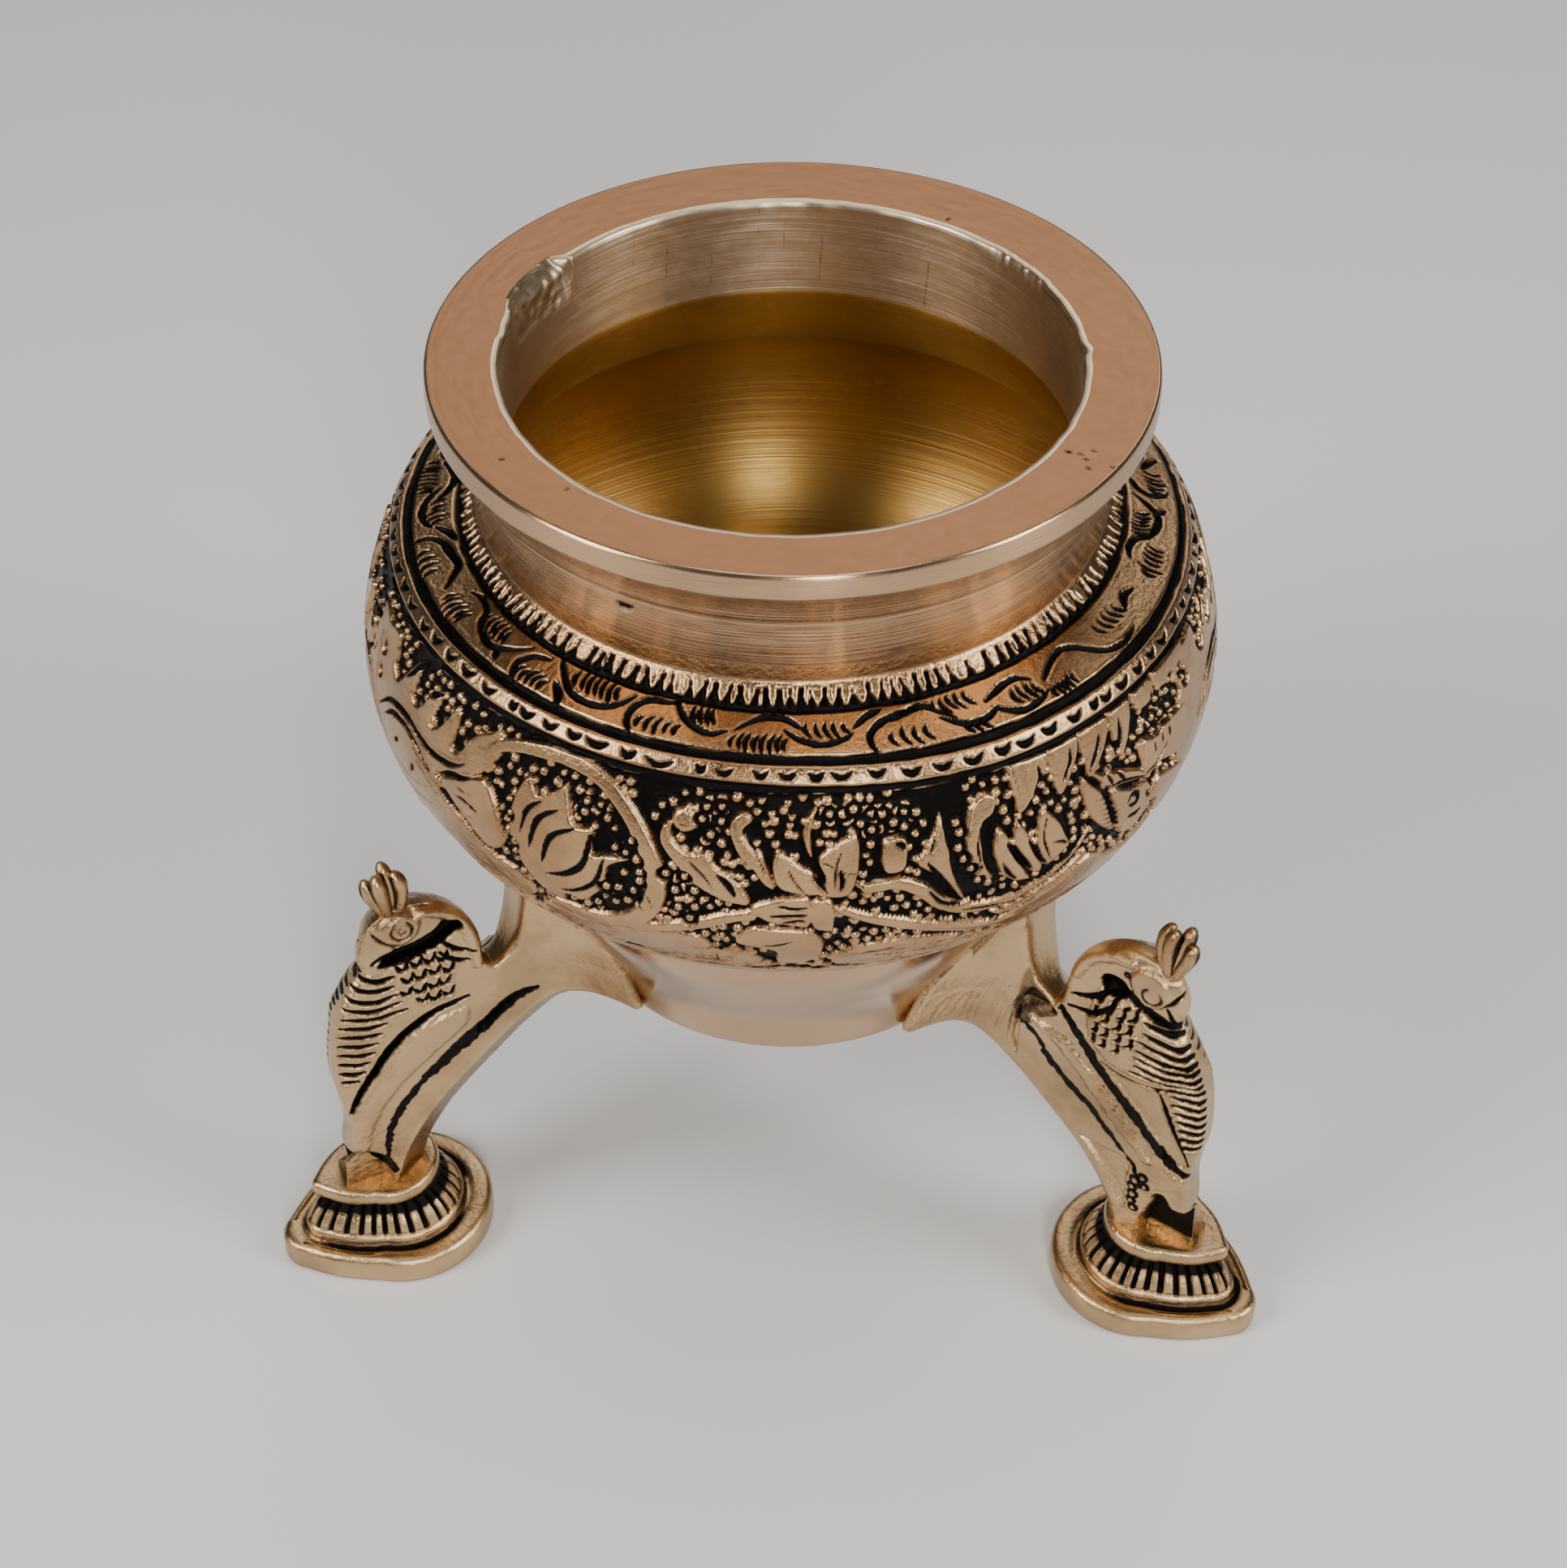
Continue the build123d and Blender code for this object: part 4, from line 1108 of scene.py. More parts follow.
def shank_marks(relief, side_b):
    """The grooves, feathers and face that are worked into one flank."""
    cut, sink = relief.cut, relief.sink
    if not side_b:
        cut("34.8,38.2 36.6,38.1 39,36.8 41.5,34.8 44.4,33 47.2,30.8 50,28.6",
            1.0, 1.1, taper=0.3, rough=0.35)
        cut("48,30 51.2,27.4 53.2,24.6 54.8,21.4 55.3,17.6", 0.60, 0.7, taper=0.3, rough=0.35)
        relief.leaf("43.4,39.2 46,39.3 49.4,38.1 52.4,35.6 55.2,31.8 57.4,28.8 59.4,25.4 "
                    "59.6,20.6 57.4,19.6 56.6,22.4 54.6,26.6 51,30.4 47,33.4 43.4,36.2",
                    top=0.35, edge=1.1, dome=0.25, rough=0.1)
        cut("43.2,40.5 46.8,39.9 49.8,38.6 52.8,36.3 55.4,32.9 57.6,29.6 58.9,27.2",
            0.62, 0.9, taper=0.3, rough=0.16)
        relief.band("41.6,45.6 41.8,49.8 43.4,53.6 46.4,55.6 49,55.2",
                    [1.0, 1.35, 1.45, 1.3, 0.8], top=0.45, edge=1.0, dome=0.3)
        relief.leaf("47.4,54.6 48,52.6 49.8,51.6 51.8,52.4 52.8,54.4 51.9,56.2 49.8,56.8 "
                    "48.2,56.2", top=0.5, edge=0.9, dome=0.4)
        sink("42.8,51.6 43.4,53.2 44.8,53.4 46.2,52.2 48.4,51.4 50.4,51.2 51.6,50.9 53.2,49.2 "
             "51.2,48.8 48.4,49.1 46.4,49.6 44.8,50.2", -1.5, 0.9)
        cut("54.9,14.4 56.2,17 58.2,18.7 60.3,19.5", 0.95, 0.7, taper=0.2, rough=0.3)
        cut("41.6,48 43.2,48.1 44.6,49.2 45.8,50.8", 0.3, 0.4)
        cut("42.2,46.4 43.6,46.7 45,47.7 46,49", 0.3, 0.4)
        cut("50.6,55.6 51.2,54.3 50.6,53.2 49.2,53.2 48.7,54.4 49.3,55.5",
            0.17, 0.3, taper=0.1, burr=0.1, black=0.7)
        cut("50.1,54.9 50.4,54.3 49.9,53.9 49.5,54.3", 0.12, 0.2, taper=0.1, black=0.8)
        cut("53.4,54.8 52.6,53.2 51.3,51.9 50.8,51.2", 0.2, 0.3, black=0.8)
        cut("51.6,50.9 52.8,50.4 53.9,50", 0.28, 0.35)
        feathers = [
            "51.6,47.4 53.6,47.5 55.3,48.4", "51.8,46 54,46.1 56.3,47.2",
            "51.4,44.6 54.2,44.5 57.1,45.8", "51.2,43.2 54.4,43.1 57.6,44.4",
            "50.6,41.7 54.4,41.8 58.1,43", "53.2,40.4 55.8,40.7 58.5,41.7",
            "54,39 56.4,39.4 58.8,40.3", "54.6,37.6 56.8,37.9 59,38.9",
            "55.1,36.2 57.2,36.4 59.2,37.4", "55.8,34.8 57.6,34.9 59.3,35.9",
            "56.6,33.4 58,33.5 59.4,34.3", "57.4,32 59.3,32.7",
        ]
        ankle = trail("54.9,12 55.2,15.4 56.4,17.6 58,18.8 60.6,19.9 61.2,11 54.6,11")
        ankle_depth, shade = 2.1, 0.0
    else:
        sink("34.8,33.6 34.8,38.2 36.2,39.2 39,35.8 43,32 48,27.4 51.6,24 52.6,20 52,15.2 "
             "50.9,16.2 47.4,21.4 43.4,25.2 39,29", -0.75, 0.9, black=0.0)
        sink("34.9,38.2 35.1,42 36.6,44.8 39.2,43.8 40.4,42.4 38.2,40.4 36.8,38.6",
             -1.2, 1.2, black=0.55)
        cut("35.6,39 37.6,38 39.8,35.2 43,32.4 46,30.2 48.5,27.6 51.4,25",
            0.52, 0.55, taper=0.3, rough=0.35)
        cut("50.8,25.8 52,24.4 53,22.6 53.6,20.6", 0.26, 0.35, rough=0.3)
        cut("40.8,44 42.6,42 45,39.2 47,36.8 50,34 53,31 55.5,28.5 57.5,26.9 59.9,26.2",
            0.70, 0.95, taper=0.2, rough=0.35)
        relief.band("37.6,40.2 42,38.4 46,34.6 50,30.4 54,26.2",
                    [0.8, 1.5, 1.6, 1.5, 1.0], top=0.4, edge=1.2, dome=0.25, rough=0.25)
        relief.leaf("44.5,42.4 46.8,39.4 50,38.6 54,39.3 57,40.6 60,41.8 59.6,45.8 56.6,48.4 "
                    "51.6,49.2 47.6,49 44.4,46.6", top=0.3, edge=0.8, dome=0.35)
        relief.band("41.9,50.6 43,53.4 45.8,55.4 48.6,55.6",
                    [1.3, 1.5, 1.4, 1.0], top=0.4, edge=1.0, dome=0.3)
        relief.leaf("48.4,53.6 49.2,51.4 51.4,50.4 53.4,51.4 54.2,53.4 53.4,55.4 51.2,56.2 "
                    "49.2,55.6", top=0.5, edge=0.9, dome=0.4)
        sink("48.4,37.2 51.2,37.8 53.9,38.1 55.4,34.6 57.4,30.8 58.9,28.5 57.6,27.6 53.2,32 "
             "49.8,35.4", -0.35, 0.5, black=0.0)
        cut("54,38.4 55.8,34.8 57.3,31.4 59.1,28.2", 0.42, 0.6, taper=0.35)
        cut("46.6,38.8 49,38 52,38 54.2,38.7 57,40.1 60,41.4", 0.22, 0.3, burr=0.2)
        cut("41.6,46.9 44,47.7 46,49.3 47.2,50.6", 0.42, 0.5)
        cut("41.6,45.1 44,45.4 46,47 47.8,48.9", 0.4, 0.5)
        cut("45.2,51 46.6,51.4 48.4,50.9 49.8,50.1 52.2,49.4 55.6,48.9", 0.55, 0.7, taper=0.25)
        sink("45.2,51.6 46.6,52.3 48.2,51.8 48.5,50 47,49 45.4,49.8", -1.5, 0.8)
        cut("52.4,53.6 52.8,52.5 52.1,51.5 50.9,51.6 50.4,52.6 51,53.6",
            0.17, 0.3, taper=0.1, burr=0.1, black=0.7)
        relief.dot(51.6, 52.5, 0.42, 0.75, ring=False)
        relief.dot(48.2, 53.5, 0.2, 0.1)
        cut("52.8,51.2 53.8,52.2 54.7,53.8", 0.26, 0.4)
        cut("53.2,51.4 54,50.2 54.7,49.2", 0.26, 0.4)
        feathers = [
            "51.4,48.2 53.6,48.2 56.4,48.2", "51.4,46.8 53.6,46.7 56.4,46.8 58,47.6",
            "50.9,45.4 53.8,45.2 57,45.7 59.2,46.6", "50.9,43.9 53.8,43.8 57,44.5 59.6,45.4",
            "50.8,42.6 54,42.7 57,43.5 59.8,44.4", "51,41.3 54,41.4 57,42.3 60,43.2",
            "50.6,40 54,40.3 57,41.2 60,42.2",
        ]
        for k in range(8):
            z = 40.2 - 1.28 * k
            feathers.append([(55.2 + 0.4 * k, z - 0.5), (57.6 + 0.2 * k, z), (60.2, z + 0.7)])
        ankle = trail(
            "53.9,12 54.2,15 55.2,18.2 55.6,20.4 56.8,20.9 58,19.4 60.8,19 61.2,11 53.8,11"
        )
        ankle_depth, shade = 2.2, 1.0
        for x, y, size in (
            (53.0, 21.6, 0.5), (52.7, 20.3, 0.42), (52.9, 19.0, 0.45), (52.8, 17.8, 0.38),
            (53.2, 16.6, 0.4), (53.9, 22.6, 0.4), (54.3, 21.2, 0.35), (57.8, 25.4, 0.42),
            (56.8, 26.0, 0.38), (58.8, 25.5, 0.36),
        ):
            relief.dot(x, y, size, 0.42, ring=x < 56)
        relief.leaf("56,13.8 56.2,15.6 57.4,16.4 58.6,15.4 57.8,14", top=-1.2, dome=0.1)
        for k in range(16):
            x = 25.4 + 0.62 * k
            top = 45.8 - 0.35 * abs(k - 9) + rng.normal(0, 0.6)
            low = 34.6 + rng.uniform(0, 5)
            scratch = [
                (x - 0.4, low), (x + 0.7, (low + top) / 2), (x + 2.0, top - rng.uniform(0, 4)),
            ]
            cut(scratch, 0.05, 0.07, burr=0.02, black=0.42)
        cut("34.2,34.4 34.5,38.4 35.2,42 36.4,45.4", 0.14, 0.35, black=0.55)
        sink("35.3,38.6 36.4,40.6 38.6,42.8 39.4,43.8 37.2,45.6 35.9,47.6 35.2,43",
             -0.5, 1.2, black=0.35)
    for line in feathers:
        cut(line, 0.36, 0.6, taper=0.25, burr=0.2)
    for x0, z0, count in ((45.6, 48.4, 4), (45.2, 46.4, 4), (45.6, 44.5, 4), (45.4, 42.6, 3)):
        for k in range(count):
            x, z = x0 + 1.55 * k + rng.normal(0, 0.1), z0 + rng.normal(0, 0.12)
            if side_b:
                scale = [(-0.8, -0.9), (-0.1, -0.6), (0.1, 0.1), (-0.1, 0.5), (0.5, 1.0)]
                half, depth, burr = 0.22, 0.46, 0.2
            else:
                scale = [(-0.7, 0.75), (-0.35, -0.3), (0.25, -0.55), (0.8, 0.35)]
                half, depth, burr = 0.27, 0.5, 0.22
            cut([(x + a, z + b) for a, b in scale], half, depth, taper=0.4, burr=burr)
    path = rounded(ankle, True)
    x, z = np.meshgrid(relief.across, relief.down)
    d = depth_in(path, x, z) + 0.15 * relief.ragged
    keep = relief.height > -1.3 if side_b else np.zeros_like(relief.height, bool)
    share = np.where(keep & (relief.height < -0.9), 0.4, 1.0)
    relief.height -= ankle_depth * ease((d + 0.2) / 0.9) * share
    rim = np.exp(-(((d - 0.55) / 0.55) ** 2)) * ease((z - 13.2) / 2.0) * ease((60.6 - x) / 1.0)
    filled = shade * ease((d - 0.1) / 0.4) * ease((z - 12.6) / 1.5)
    relief.black = np.maximum(relief.black, np.maximum(rim, filled))
    relief.black[keep & (relief.height < -2.6) & (x > 56)] *= 0.3


def flank(r, z, d, d_inner, d_bird, side_b, far, seed):
    """Half thickness and patina of one flank at scattered places, d in from the outline, with
    painted shade on side A's bevel.
    """
    step = 0.12
    relief = Relief(np.arange(22, 62, step), np.arange(10, 59, step), False, seed)
    shank_marks(relief, side_b)
    relief.height += 0.05 * relief.ragged
    base = SHANK_HALF - 0.65 * ease((z - 44) / 9.0) - 0.25 * ease((r - 55) / 4) * ease((z - 26) / 6)
    if side_b:
        bevel = 0.5 * (1 - ease(d_inner / 1.3))
    else:
        bevel = 2.7 * np.clip(1 - (d_inner - 0.1) / 4.2, 0, 1)
        bevel -= 0.16 * np.exp(-(((d_inner - 4.35) / 0.25) ** 2))
    base -= bevel
    if far:
        # the flank turned from the front is cut back behind the bird, as its casting is thin there
        base -= 4.6 * (1 - ease(d_bird / 6.5)) * ease((z - 11.5) / 7.0)
    # the flank swells out to meet the collar
    line = np.array(COLLAR_LINE)
    away = r - np.interp(z, line[:, 1], line[:, 0])
    swell = np.interp(z, [38, 44, 50, 56], [5.6, 3.6, 1.2, 0.6])
    swell *= ease(d_inner / 3.6)
    base += swell * np.clip(1 - away / (6.5 if side_b else 8.0), 0, 1.15) ** 2
    corner = np.interp(z, [20, 42, 46, 58], [0.7, 0.9, 2.2, 2.2] if far else [0.6, 0.7, 1.1, 1.3])
    corner = np.where(away < 2.5, 0.5, corner)
    lift = np.clip(d / corner, 0, 1)
    base -= corner * (1 - np.sqrt(1 - (1 - lift) ** 2))
    height = sampled(relief.height, relief.across, relief.down, r, z)
    dark = sampled(relief.black, relief.across, relief.down, r, z)
    # painted shade: side A's bevel is tinted brown, standing in for the darker reflection it would
    # show
    dark = np.maximum(dark, 0.30 * ease((4.0 - d_inner) / 0.6) * (0 if side_b else 1))
    return base + height * ease((d + 0.35) / 0.5), dark


def egg(heel, heel_r, toe_r, tip, count):
    """A foot tier's outline: two arcs and the straight runs between, from the toe round."""
    toe = tip - toe_r
    lean = math.acos((heel_r - toe_r) / (toe - heel))
    front = np.linspace(0, lean, 30)
    rear = np.linspace(lean, math.pi, 60)
    start = np.array([toe + toe_r * math.cos(lean), toe_r * math.sin(lean)])
    end = np.array([heel + heel_r * math.cos(lean), heel_r * math.sin(lean)])
    share = np.linspace(0, 1, 20)[1:-1, None]
    bulge = BULGE * np.sin(math.pi * share) * np.array([math.cos(lean), math.sin(lean)])
    half = np.vstack([
        np.column_stack([toe + toe_r * np.cos(front), toe_r * np.sin(front)]),
        start + (end - start) * share + bulge,
        np.column_stack([heel + heel_r * np.cos(rear), heel_r * np.sin(rear)]),
    ])
    path = np.vstack([half, (half * (1, -1))[::-1][1:]])
    run = np.r_[0, np.cumsum(np.hypot(*np.diff(path, axis=0).T))]
    place = np.linspace(0, run[-1], count, endpoint=False)
    return np.column_stack([np.interp(place, run, path[:, i]) for i in (0, 1)])


# (middle of the heel's arc, its radius, the toe's radius, the tip) of a foot's tiers
FOOT_TIERS = {
    "base": (53.0, 10.9, 3.6, 69.0),
    "petals": (53.4, 7.7, 2.8, 65.8),
    "plate": (54.5, 6.2, 1.3, 64.3),
}
FLUTES = 30


def foot_rows(seed, count):
    """Rings of points from the sole up to the middle of the top plate, and their patina."""

    def tier(name, inset):
        heel, heel_r, toe_r, tip = FOOT_TIERS[name]
        return egg(heel, heel_r - inset, max(toe_r - inset, 0.25), tip - inset, count)

    around = np.arange(count) / count
    phase = around * FLUTES + 0.5
    wobble = 0.12 * np.sin(around * 2 * math.pi * 5 + seed)
    wobble += 0.08 * cloud((2, count), (1, FLUTES), seed, True)[0]
    gap = 1 - 2 * np.abs((phase + wobble) % 1 - 0.5)
    rings = []

    def add(points, z, dark=0.0, flute=0.0, z_push=0.0):
        centre = np.array([56.0, 0.0])
        out = points - centre
        out /= np.maximum(np.hypot(*out.T), 1e-6)[:, None]
        slot = ease((gap - 0.45) / 0.4)
        points = points - out * (flute * slot)[:, None]
        shade = np.clip(dark + (flute > 0) * slot * 1.1, 0, 1)
        rings.append((points, z + np.broadcast_to(z_push, (count,)), shade))

    dents = 0.10 * cloud((2, count), (1, 14), seed + 5, True)[0]
    # the base, then the black ring round the foot of the petals, the petals and the top plate
    for inset, z in trail(
        "3,0.12 0.9,0 0.45,0.08 0.12,0.35 0.05,1 0.08,2.2 0.1,3.1 0.3,3.6 0.7,3.86 1.2,3.92"
    ):
        add(tier("base", inset), z, z_push=dents * (z > 3))
    add(tier("petals", -1.5), 3.88, 0.0, z_push=dents)
    patchy = np.clip(0.75 + 0.85 * cloud((2, count), (1, 9), seed + 9, True)[0], 0.1, 1)
    add(tier("petals", -1.1), 3.84, 0.35 * patchy, z_push=dents)
    add(tier("petals", -0.8), 3.74, 0.9 * patchy)
    add(tier("petals", -0.35), 3.76, patchy)
    for inset, z, flute, dark in (
        (-0.12, 3.95, 0, 0.5), (0.0, 4.3, 0, 0), (0.0, 4.7, 0, 0), (0.18, 5.0, 0, 0),
        (0.42, 5.15, 0, 0.25), (0.5, 5.3, 0.25, 0.1),
    ):
        add(tier("petals", inset), z, dark, flute)
    for z in np.arange(5.5, 8.3, 0.25):
        bulge = 0.25 * math.sin(math.pi * (z - 5.3) / 3.0)
        dark = 0.9 * float(ease((z - 7.2) / 0.9))
        add(tier("petals", 0.40 + (z - 5.3) * 0.60 - bulge), z, dark, 0.7)
    add(tier("petals", 2.35), 8.45, 1.0, 0.4)
    for inset, z in ((2.6, 8.7), (2.7, 9.1), (2.75, 9.5)):
        add(tier("petals", inset), z, 1.0)
    for inset, z, dark in (
        (0.9, 9.9, 1.0), (0.35, 10.02, 0.8), (0.1, 10.25, 0.1), (0.0, 10.7, 0), (0.0, 11.3, 0),
        (0.12, 11.8, 0), (0.4, 12.08, 0), (0.8, 12.16, 0), (1.5, 12.06, 0), (2.1, 11.95, 0),
    ):
        add(tier("plate", inset), z, dark, z_push=0.6 * dents)
    return rings


# the crest stands this far to the side that the photograph sees
CREST_SIDE = 2.4


def crest_lobes(near):
    """The four feathers on the head, as tapered tubes, towards side A (1) or B (-1)."""
    lean = -1.2 if near > 0 else 1.0
    lobes = [
        ("51,56 50.4,58.4 50.3,60.4 51,62.6", (0.85, 1.0, 1.15, 0.75), 0.5),
        ("51.5,56 51.4,58.6 51.5,61 52,63.3", (0.85, 1.05, 1.1, 0.8), -0.8),
        ("52,56 52.4,58.4 52.8,60.8 53.1,63", (0.85, 1.05, 1.15, 0.8), 0.8),
        ("52.4,55.8 53.1,57.8 53.8,59.8 54.1,61.8", (0.8, 1.0, 1.1, 0.75), -0.4),
    ]
    around = 24
    points, dark, faces = [], [], []
    for path, sizes, shift in lobes:
        line = rounded(trail(path), step=0.35) + (lean, -0.2)
        run = np.linspace(0, 1, len(line))
        size = np.interp(run, [0, 0.35, 0.75, 1.0], sizes)
        size *= np.sqrt(np.clip(1 - np.clip((run - 0.86) / 0.145, 0, 1) ** 2, 0.02, 1))
        along = np.gradient(line, axis=0)
        along /= np.hypot(*along.T)[:, None]
        lateral = np.column_stack([along[:, 1], -along[:, 0]])
        spin = np.arange(around) / around * 2 * math.pi
        r = line[:, :1] + lateral[:, :1] * size[:, None] * np.cos(spin) * 0.8
        z = line[:, 1:] + lateral[:, 1:] * size[:, None] * np.cos(spin) * 0.8
        middle = CREST_SIDE * near + shift * (0.3 + 0.7 * run)
        t = middle[:, None] + size[:, None] * np.sin(spin) * 1.1
        first = sum(len(p) for p in points)
        points.append(np.stack([r, t, z], -1).reshape(-1, 3))
        shade = ease((np.abs(np.cos(spin)) - 0.78) / 0.2)[None, :] * ease((1 - run)[:, None] / 0.15)
        dark.append(shade.reshape(-1))
        faces.append(ring_faces(len(line), around, first))
        cap = first + len(line) * around
        low = [line[0, 0], middle[0], line[0, 1] - 0.1]
        high = [line[-1, 0], middle[-1], line[-1, 1] + 0.05]
        points.append(np.array([low, high]))
        dark.append(np.zeros(2))
        faces.append(fan_faces(cap, first, around, True))
        faces.append(fan_faces(cap + 1, first + (len(line) - 1) * around, around, False))
    return np.vstack(points), np.concatenate(dark), faces


def leg_bodies():
    """The shank, peacock and root as one closed shell, in (distance, sideways, height).

    Two are made: one to be seen from side A and one from side B.
    """
    step = 0.21
    outline = leg_outline(step)
    count = len(outline)
    closed = np.vstack([outline, outline[:1]])
    low, high = outline.min(0), outline.max(0)
    rows = np.arange(low[1], high[1], step * 0.87)
    columns = np.arange(low[0], high[0], step)
    x, z = np.meshgrid(columns, rows)
    x = x + (np.arange(len(rows)) % 2)[:, None] * step / 2
    x, z = x.reshape(-1), z.reshape(-1)
    keep = inside(outline, x, z)
    x, z = x[keep], z[keep]
    far, _ = nearest(closed, x, z)
    keep = far > step * 0.55
    x, z = x[keep], z[keep]
    flat = np.vstack([outline, np.column_stack([x, z])])
    edges = [(i, (i + 1) % count) for i in range(count)]
    made = delaunay_2d_cdt([Vector(map(float, p)) for p in flat], edges, [], 1, 1e-5, False)
    if len(made[0]) != len(flat):
        raise RuntimeError("the leg's outline crosses itself")
    triangles = np.array(made[2])
    middle = flat[triangles].mean(1)
    triangles = triangles[inside(outline, middle[:, 0], middle[:, 1])]
    a, b, c = (flat[triangles[:, i]] for i in range(3))
    area = (b[:, 0] - a[:, 0]) * (c[:, 1] - a[:, 1]) - (b[:, 1] - a[:, 1]) * (c[:, 0] - a[:, 0])
    triangles = np.where(area[:, None] > 0, triangles, triangles[:, ::-1])
    d, _ = nearest(closed, flat[:, 0], flat[:, 1])
    d[:count] = 0
    d_inner, _ = nearest(rounded(INNER_EDGE, step=0.5), flat[:, 0], flat[:, 1])
    bird = np.vstack([rounded(TAIL_EDGE, step=0.5), rounded(HEAD_EDGE, step=0.5)])
    d_bird, _ = nearest(bird, flat[:, 0], flat[:, 1])
    total = len(flat)
    between = 7
    bodies = []
    for far_side in ("b", "a"):
        places = (flat[:, 0], flat[:, 1], d, d_inner, d_bird)
        half_a, dark_a = flank(*places, False, far_side == "a", 201)
        half_b, dark_b = flank(*places, True, far_side == "b", 211)
        half_a = np.maximum(half_a, 0.3 - half_b + (far_side == "a") * 0.4)
        # with distance to the right and height up, sideways points away, so side A is turned over
        faces = [triangles[:, ::-1], triangles + total]
        blocks = [np.column_stack([flat[:, 0], side, flat[:, 1]]) for side in (half_a, -half_b)]
        rings = [np.arange(count)]
        for k in range(1, between):
            side = half_a[:count] - (half_b[:count] + half_a[:count]) * k / between
            blocks.append(np.column_stack([outline[:, 0], side, outline[:, 1]]))
            rings.append(2 * total + (k - 1) * count + np.arange(count))
        rings.append(total + np.arange(count))
        for first, second in zip(rings[:-1], rings[1:]):
            faces.append(np.stack([first, np.roll(first, -1), np.roll(second, -1), second], -1))
        dark = np.concatenate([dark_a, dark_b, np.zeros(count * (between - 1))])
        bodies.append((np.vstack(blocks), dark, faces))
    return bodies


def build_leg(name, azimuth, body, seed):
    """One casting: its body, crest and foot, turned to its place round the collar."""
    shapes = [body, crest_lobes(-1 if body is seen_b else 1)]
    count = 480
    rings = foot_rows(seed, count)
    foot = np.vstack([np.column_stack([p[:, 0], p[:, 1], z]) for p, z, _ in rings])
    shade = np.concatenate([dark for _, _, dark in rings])
    ends = np.array([[56.5, 0.0, 0.12], [56.5, 0.0, 11.9]])
    faces = [ring_faces(len(rings), count), fan_faces(len(foot), 0, count, True)]
    faces.append(fan_faces(len(foot) + 1, (len(rings) - 1) * count, count, False))
    shapes.append((np.vstack([foot, ends]), np.r_[shade, 0, 0], faces))
    points, dark, joined = [], [], []
    first = 0
    for shape_points, shape_dark, shape_faces in shapes:
        points.append(shape_points)
        dark.append(shape_dark)
        joined += [f + first for f in shape_faces]
        first += len(shape_points)
    points, dark = np.vstack(points), np.concatenate(dark)
    # slow waves, so that no two castings are alike
    lumps = np.random.default_rng(seed)
    waves = lumps.uniform(-1, 1, (6, 3)) * 0.45
    phases = lumps.uniform(0, 6.28, 6)
    for wave, phase in zip(waves, phases):
        swing = 0.02 * np.sin(points @ wave + phase)
        points = points + swing[:, None] * np.array([0, 1, 0])
    a = math.radians(azimuth)
    r, t, z = points.T
    x, y = r * math.cos(a) - t * math.sin(a), r * math.sin(a) + t * math.cos(a)
    placed = np.column_stack([x, y, z])
    thing = make_mesh(name + "_casting", placed, joined, dark, [CAST])
    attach(thing, "root")
    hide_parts(name)


def build_collar():
    """The flared ring under the bowl."""
    outer = rounded([(26.25, 36.6)] + COLLAR_LINE[1:], step=0.6)
    inner = polyline([(29.9, 60.0), (29.9, 54.6), (27.0, 48.4), (24.4, 42.4), (23.3, 36.7)], 1.2)
    edge = [(23.5, 36.35), (23.9, 36.2), (25.9, 36.2), (26.12, 36.3)]
    profile = np.vstack([edge, outer, [(33.9, 60.0)], inner])
    columns = 480
    rows = len(profile)
    turns = np.radians(-180 + 360 * np.arange(columns) / columns)
    wave = 0.035 * cloud((rows, columns), (6, 26), 91, True)
    wave[: len(edge)] *= 0.3
    wave[len(edge) + len(outer) :] = 0
    r = profile[:, :1] + wave
    z = np.repeat(profile[:, 1:], columns, 1)
    points = np.stack([r * np.cos(turns), r * np.sin(turns), z], -1).reshape(-1, 3)
    faces = [ring_faces(rows, columns)]
    last = (rows - 1) * columns
    j = np.arange(columns)
    k = (j + 1) % columns
    faces.append(np.stack([last + j, last + k, k, j], -1))
    # darker towards the top, where the collar meets the bowl's underside
    darker_towards_top = ease((z - 57.2 + 0.8 * cloud(z.shape, (8, 40), 92, True)) / 2.5) * 0.45
    darker_towards_top[len(edge) + len(outer) :] = 0
    thing = make_mesh("collar_shell", points, faces, darker_towards_top.reshape(-1), [COLLAR])
    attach(thing, "root")
    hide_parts("collar_ring")


# ---------------------------------------------------------------- the scene

bowl = build_bowl()
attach(bowl, "root")
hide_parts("bowl")

build_collar()
seen_a, seen_b = leg_bodies()
build_leg("leg_rear", 90, seen_a, 301)
build_leg("leg_left", 210, seen_a, 302)
build_leg("leg_right", 330, seen_b, 303)

# the carried-over CAD pieces
for name in ("bowl_braze", "braze_rear", "braze_left", "braze_right"):
    mesh = bpy.data.objects[name].data
    mesh.materials.clear()
    mesh.materials.append(BRAZE)


def area_light(name, wide, tall, power, place, height_aimed_at, colour):
    """A soft rectangular lamp that points at the bowl's axis."""
    lamp = bpy.data.lights.new(name, "AREA")
    lamp.shape = "RECTANGLE"
    lamp.size, lamp.size_y = wide, tall
    lamp.energy = power
    lamp.color = colour
    thing = bpy.data.objects.new(name, lamp)
    thing.location = place
    aim = Vector((0, 0, height_aimed_at)) - Vector(place)
    thing.rotation_euler = aim.to_track_quat("-Z", "Y").to_euler()
    bpy.context.scene.collection.objects.link(thing)


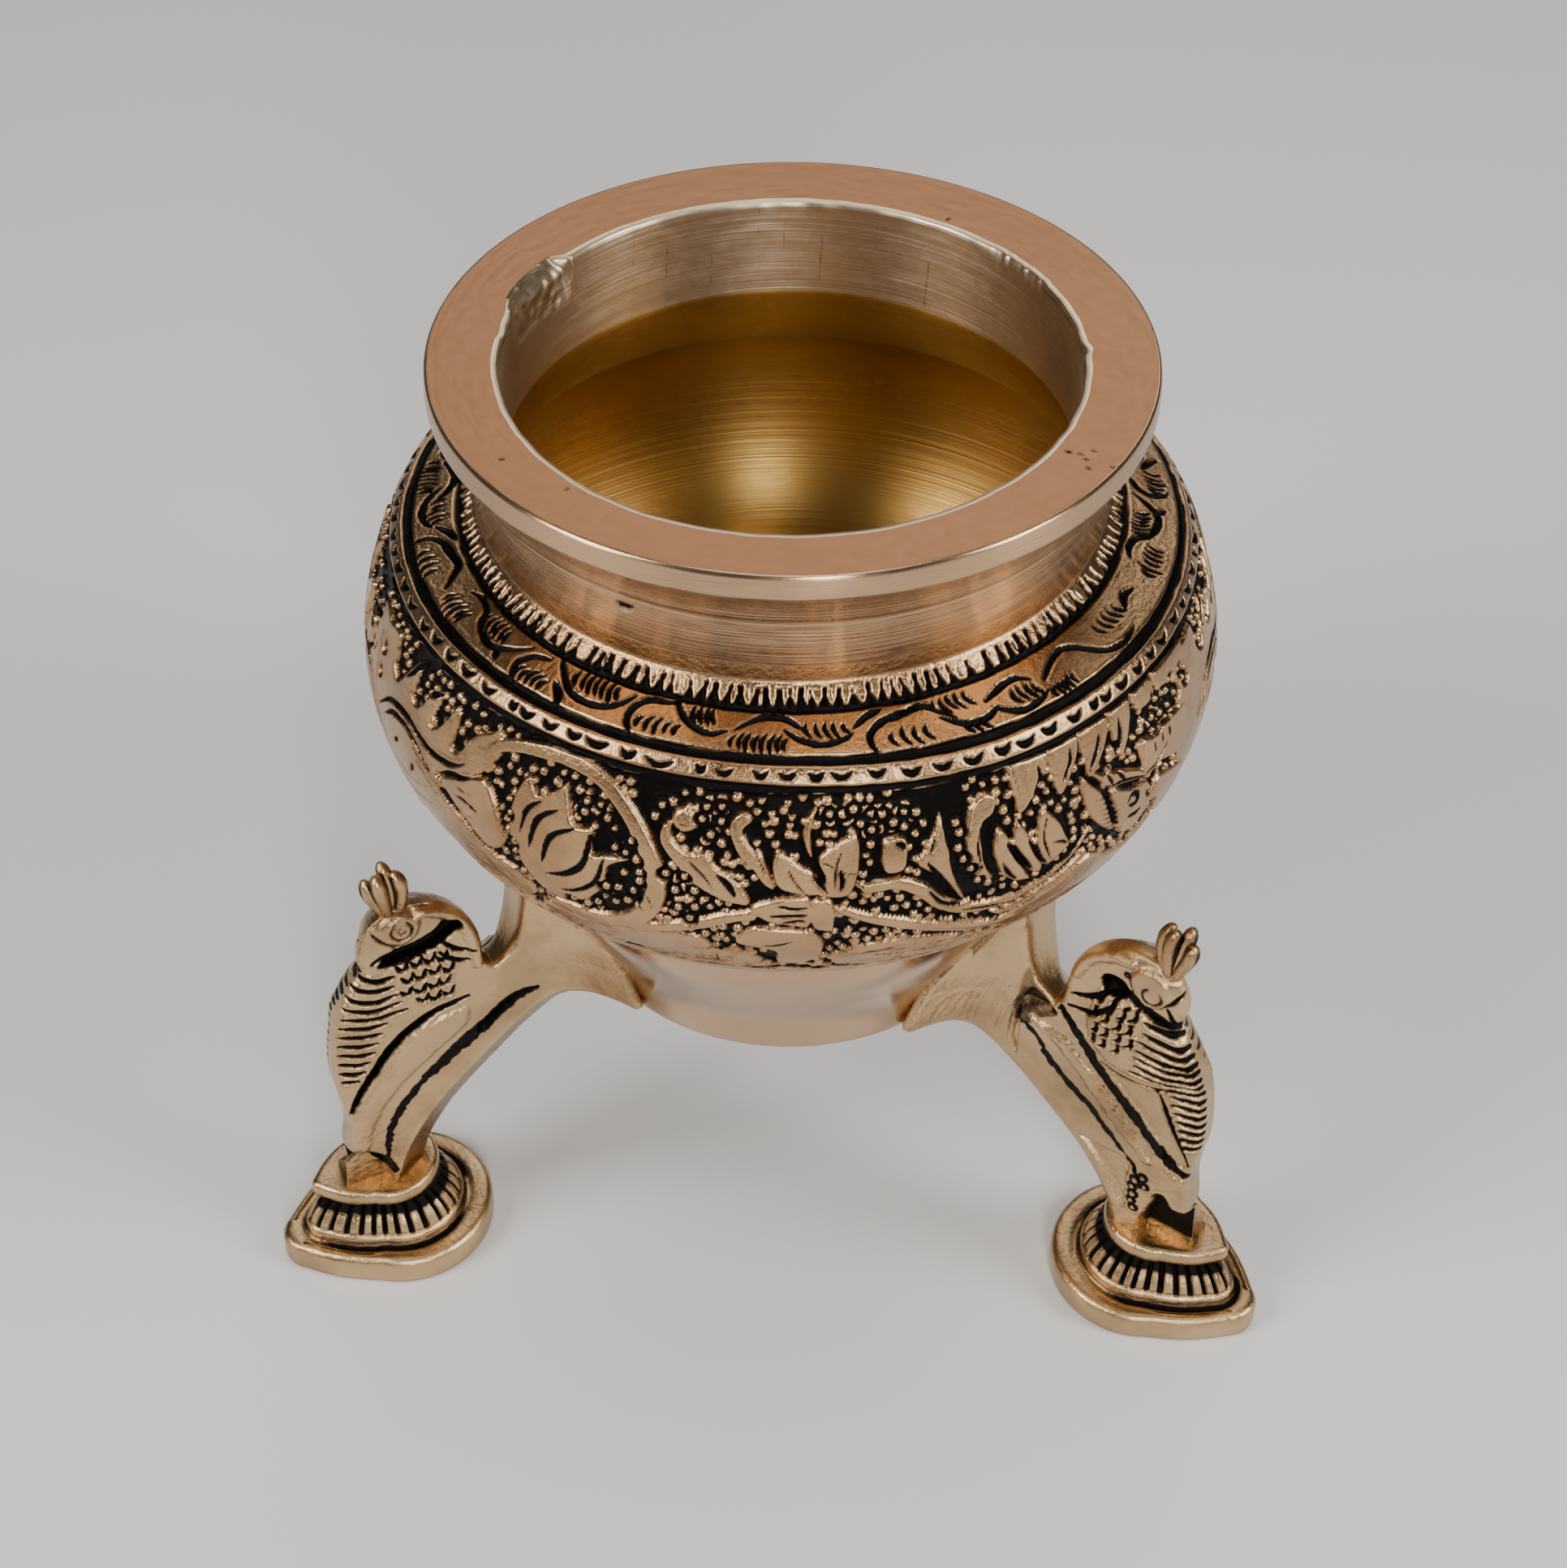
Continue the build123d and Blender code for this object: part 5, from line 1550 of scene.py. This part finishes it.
def floor_material():
    material = bpy.data.materials.new("studio_floor")
    material.use_nodes = True
    shader = material.node_tree.nodes["Principled BSDF"]
    shader.inputs["Base Color"].default_value = (0.66, 0.65, 0.64, 1.0)
    shader.inputs["Roughness"].default_value = 0.55
    return material


mesh = bpy.data.meshes.new("floor")
mesh.from_pydata([(-3, -3, 0), (3, -3, 0), (3, 3, 0), (-3, 3, 0)], [], [(0, 1, 2, 3)])
mesh.materials.append(floor_material())
floor = bpy.data.objects.new("floor", mesh)
bpy.context.scene.collection.objects.link(floor)

world = bpy.data.worlds.new("studio")
bpy.context.scene.world = world
world.use_nodes = True
world.node_tree.nodes["Background"].inputs[0].default_value = (0.92, 0.96, 1.0, 1.0)
world.node_tree.nodes["Background"].inputs[1].default_value = 0.10

area_light("key_left", 0.36, 0.5, 6.2, (-0.60, -0.38, 0.55), 0.06, (1.0, 0.98, 0.95))
area_light("fill_right", 0.26, 0.5, 4.6, (0.66, -0.18, 0.45), 0.06, (1.0, 0.99, 0.97))
area_light("top_back", 0.60, 0.26, 1.5, (0.0, 0.62, 0.62), 0.08, (1.0, 0.97, 0.94))
area_light("front_strip", 0.11, 0.40, 3.2, (0.16, -0.66, 0.42), 0.06, (1.0, 1.0, 1.0))
area_light("overhead", 0.42, 0.30, 1.5, (0.02, 0.06, 0.90), 0.06, (1.0, 0.98, 0.95))

# the camera, fitted to the photograph: turned, raised and rolled about the point it looks at
CAMERA_DISTANCE = 0.3095
AIM = Vector((-0.698, -0.057, 53.75)) * MM
turn, rise, roll = math.radians(4.7), math.radians(43.08), math.radians(0.34)
back = Vector((math.sin(turn) * math.cos(rise), -math.cos(turn) * math.cos(rise), math.sin(rise)))
side = Vector((0, 0, 1)).cross(back).normalized()
up = back.cross(side)
across = side * math.cos(roll) + up * math.sin(roll)
up = up * math.cos(roll) - side * math.sin(roll)
view = bpy.data.cameras.new("camera")
view.lens = 59.63
view.sensor_width = 36.0
camera = bpy.data.objects.new("camera", view)
pose = Matrix((across, up, back)).transposed().to_4x4()
pose.translation = AIM + back * CAMERA_DISTANCE
camera.matrix_world = pose
bpy.context.scene.collection.objects.link(camera)
bpy.context.scene.camera = camera
